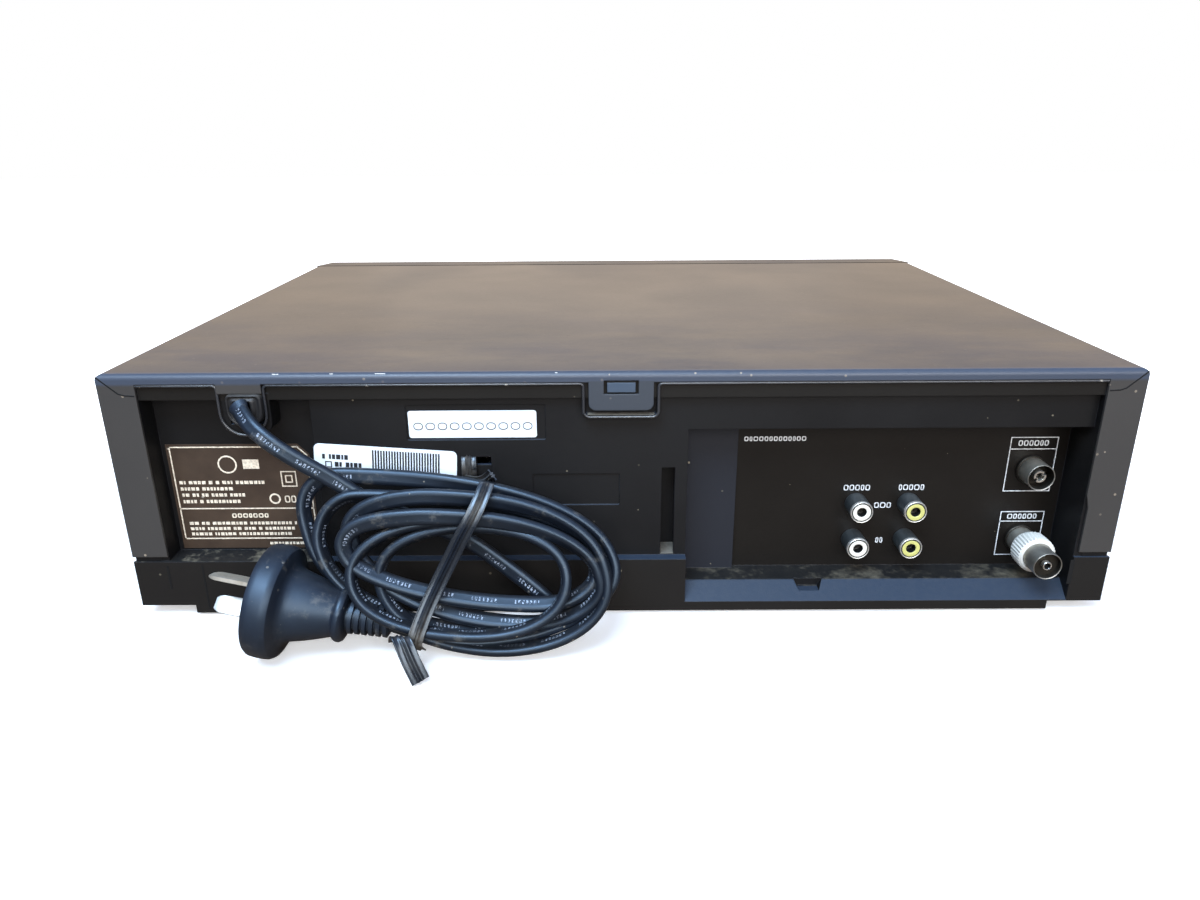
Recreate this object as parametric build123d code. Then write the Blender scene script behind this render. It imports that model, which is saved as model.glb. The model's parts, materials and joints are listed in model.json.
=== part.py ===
"""A VHS video cassette recorder: a plastic base and rear panel under a steel cover, a bezel with a
cassette door, and the tape deck, boards and sockets inside. Millimetres. The front faces -Y and the
sockets +Y; +X is to the right of someone who faces the front. Z is 0 under the feet.
"""

import os
from math import acos, atan2, cos, degrees, hypot, pi, radians, sin, tan

from build123d import *

os.makedirs("parts", exist_ok=True)

# ---------------------------------------------------------------- driving dimensions
WIDTH = 360.0
BODY_HEIGHT = 89.6
FOOT_HEIGHT = 4.4
BODY_DEPTH = 270.0
BEZEL_DEPTH = 20.4
SKIN = 1.0  # steel of the cover
WALL = 2.5  # moulded walls
CLEAR = 0.3  # between pieces that move past each other
RUN = 0.05  # radial clearance of a shaft in its bore

EAR_WIDTH = 13.0
FLANGE_DROP = 3.6
STRIP_HEIGHT = 18.2
EAR_GAP = 2.0
BELLY_DROP = 3.3
BELLY_INSET = 20.0
EDGE_ROUND = 2.0

BAND_HEIGHT = 6.0
BAND_DEPTH = 1.5
PANEL_DEPTH = 4.0
LABEL_BAY_DEPTH = 10.0
LABEL_BAY_WIDTH = 58.0
JACK_BAY_DEPTH = 18.0
JACK_BAY_X = -24.0
JACK_LEDGE_RUN = 19.7  # the plain step beside the jack plate
JACK_LEDGE_PROUD = 1.7
JACK_BAY_FLOOR = 6.0
JACK_BAY_HEIGHT = 61.5
SILL_DEPTH = 7.0
SILL_LIP = 0.4
NOTCH_X = -71.2
NOTCH_WIDTH = 12.0
NOTCH_NARROW = 7.5
NOTCH_DEPTH = 3.0

EYELET_X = 51.2
EYELET_Z = 56.3
EYELET_WIDTH = 9.6
EYELET_HEIGHT = 11.3
EYELET_BAR = 4.6
SLOT_X = -17.1
SLOT_WIDTH = 4.8
SLOT_HEIGHT = 34.8
SERIAL_X = 51.2
SERIAL_Z = 74.9
SERIAL_SIZE = (49.2, 13.1)
SERIAL_LABEL = (45.3, 10.1)
SERIAL_LABEL_OFF = (1.2, -0.8)  # the sticker isn't quite in the middle of its recess
BLANK_X = 16.1
BLANK_Z = 49.1
BLANK_SIZE = (31.3, 12.2)
RECESS_DEPTH = 0.6
PAPER = 0.2
BAR_LABEL_SHIFT = 24.7
BAR_LABEL_Z = 59.3
BAR_LABEL_SIZE = (51.0, 13.0)
BAR_LABEL_TILT = 4.0
RATING_SHIFT = 30.4  # from the label bay's inner side to the label's middle
RATING_Z = 44.3
RATING_SIZE = (52.0, 41.8)
RATING_CORNER = 4.0

CATCH_WIDTH = 22.4
CATCH_DROP = 10.1
CATCH_ROUND = 2.6
CATCH_GAP = 1.2  # around the tab, inside the rim
CATCH_UNDER = 2.0  # under the tab
CATCH_RIM = 1.2
LATCH_WIDTH = 10.0
LATCH_HEIGHT = 3.6
LATCH_Z = 88.9
LATCH_HOLE = (12.0, 4.9)
LATCH_HOLE_RISE = 0.6  # how far the hole reaches up into the flange
GLAND_TAB_WIDTH = 15.6
GLAND_TAB_SHIFT = 1.2
GLAND_TAB_DROP = 3.4

GLAND_SHIFT = 21.2
GLAND_BOSS_WIDTH = 16.7
GLAND_BOSS_LOW = 18.3
GLAND_SIZE = (12.0, 9.4)
GLAND_PROUD = 2.0
GLAND_CORD_SHIFT = 1.1
GLAND_CORD_Z = 83.2
GLAND_DROP = 7.5  # from the lead's axis down to the bottom of the rubber

JACK_X = (-90.0, -110.0)  # audio, then video
JACK_Z = (21.9, 36.9)  # in, then out
JACK_R = 4.15
JACK_LENGTH = 9.0
JACK_BORE = 3.2
JACK_PIN_HOLE = 1.7
AERIAL_INSET = 12.5
AERIAL_Z = 50.4
AERIAL_R = 4.75
AERIAL_LENGTH = 9.0
RF_OUT_Z = 21.9
RF_OUT_LENGTH = 6.0
ADAPTOR_R = 5.0
ADAPTOR_PROUD = 6.0
RING_R = 7.0
RING_SETBACK = 8.0
CENTRE_PIN_R = 1.6

BEZEL_TAPER = 5.5
BEZEL_TOP_ROUND = 5.0
BUTTON_PROUD = 1.0
BUTTON_TRAVEL = 2.0
DOOR_WIDTH = 193.0
DOOR_HEIGHT = 37.0
DOOR_TOP_Z = 85.5
DOOR_T = 2.5
DOOR_PIN_R = 1.5
WINDOW_X = (-94.0, 94.0)
WINDOW_Z = (14.0, 42.0)
WINDOW_T = 2.0
LAMP_T = 6.0

CASSETTE = (188.0, 104.0, 25.0)
HOLDER_DEPTH = 70.0
HOLDER_FRONT = -94.0
HOLDER_FLOOR = 51.0
SHEET = 1.0
CARRY_IN = 60.0
CARRY_DROP = 18.0
DECK_Z = 30.0
DECK_T = 1.5
DECK_X = 112.0
DECK_FRONT = -104.0
DECK_BACK = 22.0  # from the jack bay's wall to the deck's rear edge
DECK_TONGUE_HALF = 28.0  # of the part of the deck under the drum
GUIDE_PIN_R = 2.0
DRUM_R = 31.0
DRUM_Y = 74.0
DRUM_TILT = 4.0
LOWER_DRUM = 16.0
UPPER_DRUM = 13.0
DRUM_HUB = 2.0
REEL_X = 46.15
REEL_Y = -30.0
REEL_R = 25.0
CAPSTAN_X = 60.0
CAPSTAN_Y = 41.0
CAPSTAN_R = 2.0
FLYWHEEL_R = 21.0
CAPSTAN_PULLEY_R = 7.0
REEL_PULLEY_R = 14.0
REEL_PULLEY_Y = -2.0
PINCH_PIVOT = (72.0, 63.0)
PINCH_ARM = 17.0
PINCH_OPEN = 35.0
PINCH_R = 6.5
CAM_X = -72.0
CAM_BACK = 42.0  # from the deck's rear edge
CAM_R = 14.0
GUIDE_START = (30.0, 20.0)
GUIDE_END = (39.0, 62.0)

# ---------------------------------------------------------------- worked-out levels
REAR_Y = (BODY_DEPTH - ADAPTOR_PROUD) / 2
FRONT_Y = REAR_Y - BODY_DEPTH
HALF = WIDTH / 2
BASE_Z = FOOT_HEIGHT
TOP_Z = BASE_Z + BODY_HEIGHT
SEAM_Y = FRONT_Y + BEZEL_DEPTH
STRIP_TOP = BASE_Z + STRIP_HEIGHT
COVER_LOW = STRIP_TOP + EAR_GAP
FLANGE_Z = TOP_Z - FLANGE_DROP
ROOF_Z = TOP_Z - SKIN
INNER = HALF - SKIN
SKIN_Y = REAR_Y - SKIN
BAND_Z = FLANGE_Z - BAND_HEIGHT
BAND_Y = REAR_Y - BAND_DEPTH
PANEL_Y = REAR_Y - PANEL_DEPTH
LABEL_Y = REAR_Y - LABEL_BAY_DEPTH
JACK_Y = REAR_Y - JACK_BAY_DEPTH
SIDE_X = HALF - EAR_WIDTH
DECK_Y = (DECK_FRONT, JACK_Y - DECK_BACK)
CAM_Y = DECK_Y[1] - CAM_BACK
BAY_FLOOR = BASE_Z + JACK_BAY_FLOOR
BAY_TOP = BAY_FLOOR + JACK_BAY_HEIGHT
BELLY_Z = BASE_Z - BELLY_DROP
BELLY_X = HALF - BELLY_INSET
FLOOR_TOP = BELLY_Z + WALL
FACE_Y = FRONT_Y + BUTTON_PROUD
BEZEL_IN_Y = FACE_Y + WALL
GLAND_LOW = GLAND_CORD_Z - GLAND_DROP
LABEL_BAY_X = SIDE_X - LABEL_BAY_WIDTH
RATING_X = LABEL_BAY_X + RATING_SHIFT
BAR_LABEL_X = LABEL_BAY_X - BAR_LABEL_SHIFT
GLAND_X = LABEL_BAY_X + GLAND_SHIFT
GLAND_CORD_X = GLAND_X + GLAND_CORD_SHIFT
AERIAL_X = AERIAL_INSET - SIDE_X


# ---------------------------------------------------------------- small helpers
def box(x0, x1, y0, y1, z0, z1):
    """A block between two values on each axis, given in either order."""
    centre = Pos((x0 + x1) / 2, (y0 + y1) / 2, (z0 + z1) / 2)
    return centre * Box(abs(x1 - x0), abs(y1 - y0), abs(z1 - z0))


def post(x, y, z0, z1, r):
    """An upright round bar."""
    return Pos(x, y, (z0 + z1) / 2) * Cylinder(r, z1 - z0)


def bar_y(x, z, y0, y1, r):
    """A round bar along Y."""
    return Pos(x, (y0 + y1) / 2, z) * Rot(90, 0, 0) * Cylinder(r, y1 - y0)


def bar_x(y, z, x0, x1, r):
    """A round bar along X."""
    return Pos((x0 + x1) / 2, y, z) * Rot(0, 90, 0) * Cylinder(r, x1 - x0)


def plan(points, z0, z1):
    """An outline of (x, y) points, raised from z0 to z1."""
    return Pos(0, 0, z0) * extrude(make_face(Polyline(*points, close=True)), z1 - z0)


def side(points, x0, x1):
    """An outline of (y, z) points, drawn out from x0 to x1."""
    return extrude(Plane.YZ.offset(x0) * make_face(Polyline(*points, close=True)), x1 - x0)


def front(points, y0, y1):
    """An outline of (x, z) points, drawn out from y0 to y1."""
    return extrude(Plane.XZ.offset(-y1) * make_face(Polyline(*points, close=True)), y1 - y0)


def both(solid):
    """A solid and its mirror image across the middle plane."""
    return solid + mirror(solid, Plane.YZ)


def rounded_y(x, z, width, height, y0, y1, r):
    """A block along Y whose four long edges are rounded."""
    face = Plane.XZ.offset(-y1) * Pos(x, z) * RectangleRounded(width, height, r)
    return extrude(face, y1 - y0)


def save(name, *solids):
    """Writes one node, whose solids stay apart from each other."""
    whole = solids[0] if len(solids) == 1 else Compound(children=list(solids))
    export_step(whole, f"parts/{name}.step")


# ---------------------------------------------------------------- cover
SCREW_INSET = (32.6, 37.0)
SCREW_Y = (SEAM_Y + SCREW_INSET[0], REAR_Y - SCREW_INSET[1])
SCREW_Z = 40.0
SCREW_HEAD = 3.6
SCREW_R = 1.5
SCREW_LENGTH = 6.0
EAR_STEP_Z = 47.4
EAR_STEP = 1.3
EAR_SLANT = 5.0


def top_cover():
    shell = box(-HALF, HALF, SEAM_Y, REAR_Y, COVER_LOW, TOP_Z)
    long_edges = shell.edges().filter_by(Axis.Y).sort_by(Axis.Z)[-2:]
    rear_edges = shell.edges().filter_by(Axis.X).group_by(Axis.Y)[-1].sort_by(Axis.Z)[-1:]
    shell = fillet(long_edges + rear_edges, EDGE_ROUND)
    inside = box(-INNER, INNER, SEAM_Y - SKIN, SKIN_Y, COVER_LOW - SKIN, ROOF_Z)
    inner_edges = inside.edges().filter_by(Axis.Y).sort_by(Axis.Z)[-2:]
    shell -= fillet(inner_edges, EDGE_ROUND - SKIN)
    # The rear is open between the ears; the right ear is a little narrower low down.
    mouth = front(
        [
            (-SIDE_X - EAR_STEP, COVER_LOW - SKIN),
            (-SIDE_X - EAR_STEP, EAR_STEP_Z - EAR_SLANT),
            (-SIDE_X, EAR_STEP_Z),
            (-SIDE_X, FLANGE_Z),
            (SIDE_X, FLANGE_Z),
            (SIDE_X, COVER_LOW - SKIN),
        ],
        SKIN_Y - SKIN,
        REAR_Y + SKIN,
    )
    shell -= mouth
    shell += catch_tab() + gland_tab()
    hole_top = FLANGE_Z + LATCH_HOLE_RISE
    half = LATCH_HOLE[0] / 2
    shell -= box(-half, half, SKIN_Y - SKIN, REAR_Y + SKIN, hole_top - LATCH_HOLE[1], hole_top)
    for y in SCREW_Y:
        shell -= both(bar_x(y, SCREW_Z, INNER - SKIN, HALF + SKIN, SCREW_HEAD))
    return shell


def catch_tab():
    """The tab in the middle of the rear edge, which clips behind the latch."""
    low = FLANGE_Z - CATCH_DROP
    tab = box(-CATCH_WIDTH / 2, CATCH_WIDTH / 2, SKIN_Y, REAR_Y, low, FLANGE_Z)
    return fillet(tab.edges().filter_by(Axis.Y).sort_by(Axis.Z)[:2], CATCH_ROUND)


def gland_tab():
    """The short tab that closes the top of the cord gland."""
    x0 = GLAND_X + GLAND_TAB_SHIFT - GLAND_TAB_WIDTH / 2
    return box(x0, x0 + GLAND_TAB_WIDTH, SKIN_Y, REAR_Y, FLANGE_Z - GLAND_TAB_DROP, FLANGE_Z)


def cover_screws():
    made = []
    for x in (-1, 1):
        for y in SCREW_Y:
            ends = sorted((x * INNER, x * HALF))
            head = bar_x(y, SCREW_Z, *ends, SCREW_HEAD)
            shank = bar_x(y, SCREW_Z, *sorted((x * INNER, x * (INNER - SCREW_LENGTH))), SCREW_R)
            made.append(head + shank)
    return made


# ---------------------------------------------------------------- base frame
POST_INSET = (6.0, 8.0)
POST_X = DECK_X - POST_INSET[0]
POST_Y = (DECK_Y[0] + POST_INSET[0], DECK_Y[1] - POST_INSET[1])
POST_R = 4.5
BOARD_POST_R = 3.0
BOARD_Z = 10.0
BOARD_T = 1.6
BOARD_SIDE_GAP = 33.0
BOARD_GAP = (21.6, 4.0)  # behind the seam and before the jack bay
BOARD_X = (BOARD_SIDE_GAP - SIDE_X, 98.0)
BOARD_Y = (SEAM_Y + BOARD_GAP[0], JACK_Y - BOARD_GAP[1])
BOARD_INSET = 6.0
HATCH_X = (-130.0, 90.0)
HATCH_Y = (-72.0, 72.0)
HATCH_LAP = 5.0
RAIL_TOP = 60.0
FOOT_SIDE = 14.0
FOOT_INSET = (15.6, 20.0)
FOOT_X = BELLY_X - FOOT_SIDE
FOOT_Y = (SEAM_Y + FOOT_INSET[0], REAR_Y - FOOT_INSET[1])
FOOT_R = 11.0
FOOT_SPIGOT = 5.0


def board_posts():
    return [(x, y) for x in (BOARD_X[0] + BOARD_INSET, BOARD_X[1] - BOARD_INSET)
            for y in (BOARD_Y[0] + BOARD_INSET, BOARD_Y[1] - BOARD_INSET)]


def deck_posts():
    return [(x, y) for x in (-POST_X, POST_X) for y in POST_Y]


def base_frame():
    rear = REAR_Y - WALL
    sides = both(box(HALF - WALL, HALF, SEAM_Y, rear, BASE_Z, STRIP_TOP))
    rails = both(box(INNER - WALL, INNER, SEAM_Y, rear - WALL, STRIP_TOP - WALL, RAIL_TOP))
    ledge = both(box(BELLY_X - WALL, HALF, SEAM_Y, rear, BASE_Z, BASE_Z + WALL))
    belly = box(-BELLY_X, BELLY_X, SEAM_Y, rear, BELLY_Z, FLOOR_TOP)
    cheeks = both(box(BELLY_X - WALL, BELLY_X, SEAM_Y, rear, BELLY_Z, BASE_Z + WALL))
    frame = sides + rails + ledge + belly + cheeks
    frame -= box(*HATCH_X, *HATCH_Y, BELLY_Z - 1, FLOOR_TOP + 1)
    sill_y = REAR_Y - SILL_DEPTH - WALL
    frame -= box(-SIDE_X - WALL, -BELLY_X + WALL, sill_y, rear, BASE_Z, BASE_Z + WALL)
    for x, y in deck_posts():
        frame += post(x, y, FLOOR_TOP, DECK_Z - DECK_T, POST_R)
    for x, y in board_posts():
        frame += post(x, y, FLOOR_TOP, BOARD_Z, BOARD_POST_R)
    for x in (-FOOT_X, FOOT_X):
        for y in FOOT_Y:
            frame -= post(x, y, BELLY_Z - 1, FLOOR_TOP + 1, FOOT_SPIGOT)
    for x in (-1, 1):
        for y in SCREW_Y:
            frame -= bar_x(y, SCREW_Z, *sorted((x * INNER, x * (INNER - SCREW_LENGTH))), SCREW_R)
    return frame


def feet():
    return [
        post(x, y, 0, BELLY_Z, FOOT_R) + post(x, y, BELLY_Z, FLOOR_TOP, FOOT_SPIGOT)
        for x in (-FOOT_X, FOOT_X)
        for y in FOOT_Y
    ]


VENT_LENGTH = 26.0
VENT_WIDTH = 3.0
VENT_PITCH = 9.0
VENT_ROWS = 8
VENT_COLUMNS = (-80.0, -40.0, 0.0, 40.0)


def bottom_plate():
    plate = box(
        HATCH_X[0] - HATCH_LAP,
        HATCH_X[1] + HATCH_LAP,
        HATCH_Y[0] - HATCH_LAP,
        HATCH_Y[1] + HATCH_LAP,
        FLOOR_TOP,
        FLOOR_TOP + SKIN,
    )
    for x in VENT_COLUMNS:
        for row in range(VENT_ROWS):
            y = (row - (VENT_ROWS - 1) / 2) * VENT_PITCH
            plate -= box(
                x - VENT_LENGTH / 2,
                x + VENT_LENGTH / 2,
                y - VENT_WIDTH / 2,
                y + VENT_WIDTH / 2,
                FLOOR_TOP - 1,
                FLOOR_TOP + SKIN + 1,
            )
    return plate


# ---------------------------------------------------------------- rear panel
SLEEVE_T = 0.6
JACK_NECK_R = JACK_R - SLEEVE_T
AERIAL_NECK_R = AERIAL_R - SKIN


def rear_panel():
    t = WALL
    shelf = STRIP_TOP - t
    plate_x = JACK_BAY_X - JACK_LEDGE_RUN
    ledge_y = JACK_Y + JACK_LEDGE_PROUD
    pillar = both(box(SIDE_X, INNER, SKIN_Y - t, SKIN_Y, STRIP_TOP, ROOF_Z - EDGE_ROUND))
    flank = both(box(SIDE_X, SIDE_X + t, JACK_Y - t, SKIN_Y, STRIP_TOP, ROOF_Z))
    band = box(-SIDE_X, SIDE_X, BAND_Y - t, BAND_Y, BAND_Z, ROOF_Z)
    middle = box(JACK_BAY_X, LABEL_BAY_X, PANEL_Y - t, PANEL_Y, shelf, BAND_Z + t)
    above = box(-SIDE_X, JACK_BAY_X, PANEL_Y - t, PANEL_Y, BAY_TOP, BAND_Z + t)
    step = box(LABEL_BAY_X - t, LABEL_BAY_X, LABEL_Y - t, PANEL_Y, shelf, BAND_Z + t)
    label_wall = box(LABEL_BAY_X - t, SIDE_X + t, LABEL_Y - t, LABEL_Y, shelf, BAND_Z + t)
    label_roof = box(LABEL_BAY_X - t, SIDE_X, LABEL_Y - t, BAND_Y, BAND_Z, BAND_Z + t)
    strip = box(JACK_BAY_X, HALF, REAR_Y - t, REAR_Y, BASE_Z, STRIP_TOP)
    strip += box(JACK_BAY_X, BELLY_X, REAR_Y - t, REAR_Y, BELLY_Z, BASE_Z)
    strip = fillet(strip.edges().filter_by(Axis.Z).sort_by(Axis.X)[-2:-1], EDGE_ROUND)
    shelves = box(JACK_BAY_X, SIDE_X + t, PANEL_Y - t, REAR_Y, shelf, STRIP_TOP)
    shelves += box(LABEL_BAY_X - t, SIDE_X + t, LABEL_Y - t, REAR_Y, shelf, STRIP_TOP)
    jack_wall = box(-SIDE_X - t, plate_x, JACK_Y - t, JACK_Y, BAY_FLOOR - t, BAY_TOP + t)
    jack_wall += box(plate_x, JACK_BAY_X + t, JACK_Y - t, ledge_y, BAY_FLOOR - t, BAY_TOP + t)
    soffit = box(-SIDE_X - t, JACK_BAY_X, JACK_Y - t, PANEL_Y, BAY_TOP, BAY_TOP + t)
    floor = box(-SIDE_X - t, JACK_BAY_X + t, JACK_Y - t, REAR_Y - SILL_DEPTH, BAY_FLOOR - t, BAY_FLOOR)
    cheek = box(JACK_BAY_X, JACK_BAY_X + t, JACK_Y - t, PANEL_Y, BAY_FLOOR - t, BAY_TOP + t)
    strip_end = box(JACK_BAY_X, JACK_BAY_X + t, PANEL_Y - t, REAR_Y, FLOOR_TOP, STRIP_TOP)
    sill = side(
        [
            (REAR_Y - SILL_DEPTH, BAY_FLOOR),
            (REAR_Y, BASE_Z + SILL_LIP),
            (REAR_Y, BASE_Z),
            (REAR_Y - t, BASE_Z),
            (REAR_Y - SILL_DEPTH - t, BAY_FLOOR - t),
            (REAR_Y - SILL_DEPTH - t, BAY_FLOOR),
        ],
        -SIDE_X - t,
        JACK_BAY_X,
    )
    sill += box(-BELLY_X, JACK_BAY_X, REAR_Y - t, REAR_Y, BELLY_Z, BASE_Z)
    corner = box(-HALF, -SIDE_X, REAR_Y - t, REAR_Y, BASE_Z, STRIP_TOP)
    corner = fillet(corner.edges().filter_by(Axis.Z).sort_by(Axis.X)[:1], EDGE_ROUND)
    corner += box(-SIDE_X - t, -SIDE_X, JACK_Y - t, REAR_Y, BASE_Z + t, STRIP_TOP)
    panel = pillar + flank + band + middle + above + step + label_wall + label_roof
    panel += strip + shelves + jack_wall + soffit + floor + cheek + strip_end + sill + corner
    panel += gland_boss() + catch_frame() + latch()
    return panel - rear_cuts()


def gland_boss():
    """The U-shaped wall that holds the gland, standing out of the label bay."""
    low = FLANGE_Z - GLAND_BOSS_LOW
    boss = box(
        GLAND_X - GLAND_BOSS_WIDTH / 2,
        GLAND_X + GLAND_BOSS_WIDTH / 2,
        LABEL_Y - WALL,
        SKIN_Y - CLEAR,
        low,
        BAND_Z + WALL,
    )
    return fillet(boss.edges().filter_by(Axis.Y).sort_by(Axis.Z)[:2], GLAND_BOSS_WIDTH / 4)


def catch_frame():
    """The rim around the cover's catch tab, with a gap between them."""
    low = FLANGE_Z - CATCH_DROP - CATCH_UNDER
    half = CATCH_WIDTH / 2 + CATCH_GAP
    outer = half + CATCH_RIM
    rim = box(-outer, outer, PANEL_Y - WALL, SKIN_Y, low - CATCH_RIM, FLANGE_Z)
    rim = fillet(rim.edges().filter_by(Axis.Y).sort_by(Axis.Z)[:2], CATCH_ROUND)
    seat = box(-half, half, BAND_Y - WALL, REAR_Y, low, ROOF_Z)
    return rim - fillet(seat.edges().filter_by(Axis.Y).sort_by(Axis.Z)[:2], CATCH_ROUND - CATCH_RIM)


def latch():
    """The springy tongue that clips into the cover's catch tab."""
    half = LATCH_WIDTH / 2
    low, high = LATCH_Z - LATCH_HEIGHT / 2, LATCH_Z + LATCH_HEIGHT / 2
    tongue = box(-half, half, PANEL_Y - WALL, SKIN_Y + SKIN / 2, low, high)
    web = box(-half, half, PANEL_Y - WALL, BAND_Y - WALL, BAND_Z, ROOF_Z)
    return tongue + web


def rear_cuts():
    """Every hole and recess in the rear panel."""
    through = (JACK_Y - 2 * WALL, REAR_Y + 1)
    cuts = box(
        GLAND_X - GLAND_SIZE[0] / 2,
        GLAND_X + GLAND_SIZE[0] / 2,
        LABEL_Y - WALL - 1,
        REAR_Y,
        GLAND_LOW,
        GLAND_LOW + GLAND_SIZE[1],
    )
    half = EYELET_WIDTH / 2
    eyelet = box(
        EYELET_X - half,
        EYELET_X + half,
        *through,
        EYELET_Z - EYELET_HEIGHT / 2,
        EYELET_Z + EYELET_HEIGHT / 2,
    )
    strap = box(
        EYELET_X - half,
        EYELET_X + half,
        PANEL_Y - WALL,
        PANEL_Y - WALL / 3,
        EYELET_Z - EYELET_BAR / 2,
        EYELET_Z + EYELET_BAR / 2,
    )
    cuts += eyelet - strap
    cuts += box(SLOT_X - SLOT_WIDTH / 2, SLOT_X + SLOT_WIDTH / 2, *through, STRIP_TOP + CLEAR,
                STRIP_TOP + SLOT_HEIGHT)
    for x, z, size in ((SERIAL_X, SERIAL_Z, SERIAL_SIZE), (BLANK_X, BLANK_Z, BLANK_SIZE)):
        cuts += rounded_y(x, z, *size, PANEL_Y - RECESS_DEPTH, PANEL_Y + 1, RECESS_DEPTH)
    for x in JACK_X:
        for z in JACK_Z:
            cuts += bar_y(x, z, *through, JACK_NECK_R)
    for z in (AERIAL_Z, RF_OUT_Z):
        cuts += bar_y(AERIAL_X, z, *through, AERIAL_NECK_R)
    notch_top = BAY_FLOOR + 1
    notch = front(
        [
            (NOTCH_X - NOTCH_WIDTH / 2, notch_top),
            (NOTCH_X + NOTCH_WIDTH / 2, notch_top),
            (NOTCH_X + NOTCH_NARROW / 2, BAY_FLOOR - NOTCH_DEPTH),
            (NOTCH_X - NOTCH_NARROW / 2, BAY_FLOOR - NOTCH_DEPTH),
        ],
        REAR_Y - SILL_DEPTH - RECESS_DEPTH,
        REAR_Y + 1,
    )
    return cuts + notch


def cord_gland():
    rubber = box(
        GLAND_X - GLAND_SIZE[0] / 2,
        GLAND_X + GLAND_SIZE[0] / 2,
        LABEL_Y - 2 * WALL,
        REAR_Y + GLAND_PROUD,
        GLAND_LOW,
        GLAND_LOW + GLAND_SIZE[1],
    )
    return fillet(rubber.faces().sort_by(Axis.Y)[-1].edges(), EDGE_ROUND)


def rating_label():
    w, h = RATING_SIZE
    c = RATING_CORNER
    x0, x1 = RATING_X - w / 2, RATING_X + w / 2
    z0, z1 = RATING_Z - h / 2, RATING_Z + h / 2
    return front([(x0 + c, z1), (x1, z1), (x1, z0), (x0, z0), (x0, z1 - c)], LABEL_Y, LABEL_Y + PAPER)


def stickers():
    """The serial sticker in its recess, and a price sticker that overhangs the label bay."""
    bed = PANEL_Y - RECESS_DEPTH
    x, z = SERIAL_X + SERIAL_LABEL_OFF[0], SERIAL_Z + SERIAL_LABEL_OFF[1]
    serial = rounded_y(x, z, *SERIAL_LABEL, bed, bed + PAPER, EDGE_ROUND / 2)
    flat = extrude(Plane.XZ * RectangleRounded(*BAR_LABEL_SIZE, EDGE_ROUND), -PAPER)
    price = Pos(BAR_LABEL_X, PANEL_Y, BAR_LABEL_Z) * Rot(0, -BAR_LABEL_TILT, 0) * flat
    return serial, price


# ---------------------------------------------------------------- sockets
BLOCK_DEPTH = 14.0
BLOCK_MARGIN = 7.0
RF_BOX_DEPTH = 52.0
RF_BOX_REACH = (15.5, 16.5)
RF_BOX_X = (AERIAL_X - RF_BOX_REACH[0], AERIAL_X + RF_BOX_REACH[1])
RF_BOX_TOP = 64.0


def av_jack_block():
    """The moulded block behind the panel, and the four jack bodies that stand out through it."""
    y1 = JACK_Y - WALL
    block = box(
        min(JACK_X) - BLOCK_MARGIN,
        max(JACK_X) + BLOCK_MARGIN,
        y1 - BLOCK_DEPTH,
        y1,
        BOARD_Z + BOARD_T,
        max(JACK_Z) + BLOCK_MARGIN,
    )
    for x in JACK_X:
        for z in JACK_Z:
            block += bar_y(x, z, y1, JACK_Y, JACK_NECK_R)
            block += bar_y(x, z, JACK_Y, JACK_Y + JACK_LENGTH, JACK_R)
            block -= bar_y(x, z, JACK_Y, JACK_Y + JACK_LENGTH, JACK_BORE)
    return block


def jack_liners(x):
    """The two coloured inserts of one column of jacks."""
    made = []
    for z in JACK_Z:
        liner = bar_y(x, z, JACK_Y, JACK_Y + JACK_LENGTH - SLEEVE_T, JACK_BORE)
        liner -= bar_y(x, z, JACK_Y + SLEEVE_T, JACK_Y + JACK_LENGTH, JACK_PIN_HOLE)
        made.append(liner)
    return made


def tuner_box():
    """The screened box that carries both aerial sockets, standing on the floor of the frame."""
    y1 = JACK_Y - WALL
    return box(*RF_BOX_X, y1 - RF_BOX_DEPTH, y1, BASE_Z + WALL, RF_BOX_TOP)


def rf_sockets():
    """The aerial socket, split at its centre, and the longer RF output that the adaptor sits on."""
    y0 = JACK_Y - WALL
    made = []
    for z, length in ((AERIAL_Z, AERIAL_LENGTH), (RF_OUT_Z, RF_OUT_LENGTH)):
        y1 = JACK_Y + length
        tube = bar_y(AERIAL_X, z, y0, JACK_Y, AERIAL_NECK_R) + bar_y(AERIAL_X, z, JACK_Y, y1, AERIAL_R)
        tube -= bar_y(AERIAL_X, z, JACK_Y + SKIN, y1, AERIAL_NECK_R)
        tube += bar_y(AERIAL_X, z, JACK_Y, y1 - SKIN, CENTRE_PIN_R)
        made.append(tube)
    return made


def adaptor_tube():
    """The metal tube of the RF adaptor, on the end of the RF output, with the ring's two collars."""
    y0 = JACK_Y + RF_OUT_LENGTH
    y1 = REAR_Y + ADAPTOR_PROUD
    collar_y = y1 - RING_SETBACK + CLEAR
    tube = bar_y(AERIAL_X, RF_OUT_Z, y0, y1, ADAPTOR_R)
    tube += bar_y(AERIAL_X, RF_OUT_Z, y0, y0 + SKIN, ADAPTOR_R + SKIN)
    tube += bar_y(AERIAL_X, RF_OUT_Z, collar_y, collar_y + SKIN, ADAPTOR_R + SKIN)
    tube -= bar_y(AERIAL_X, RF_OUT_Z, collar_y, y1, ADAPTOR_R - SKIN)
    return tube + bar_y(AERIAL_X, RF_OUT_Z, collar_y, y1 - SKIN, CENTRE_PIN_R)


def adaptor_ring():
    """The knurled ring that turns on the adaptor's tube, between its collars."""
    y0 = JACK_Y + RF_OUT_LENGTH + SKIN + CLEAR
    y1 = REAR_Y + ADAPTOR_PROUD - RING_SETBACK
    ring = chamfer(bar_y(AERIAL_X, RF_OUT_Z, y0, y1, RING_R).edges(), RECESS_DEPTH)
    return ring - bar_y(AERIAL_X, RF_OUT_Z, y0, y1, ADAPTOR_R + RUN)


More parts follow.
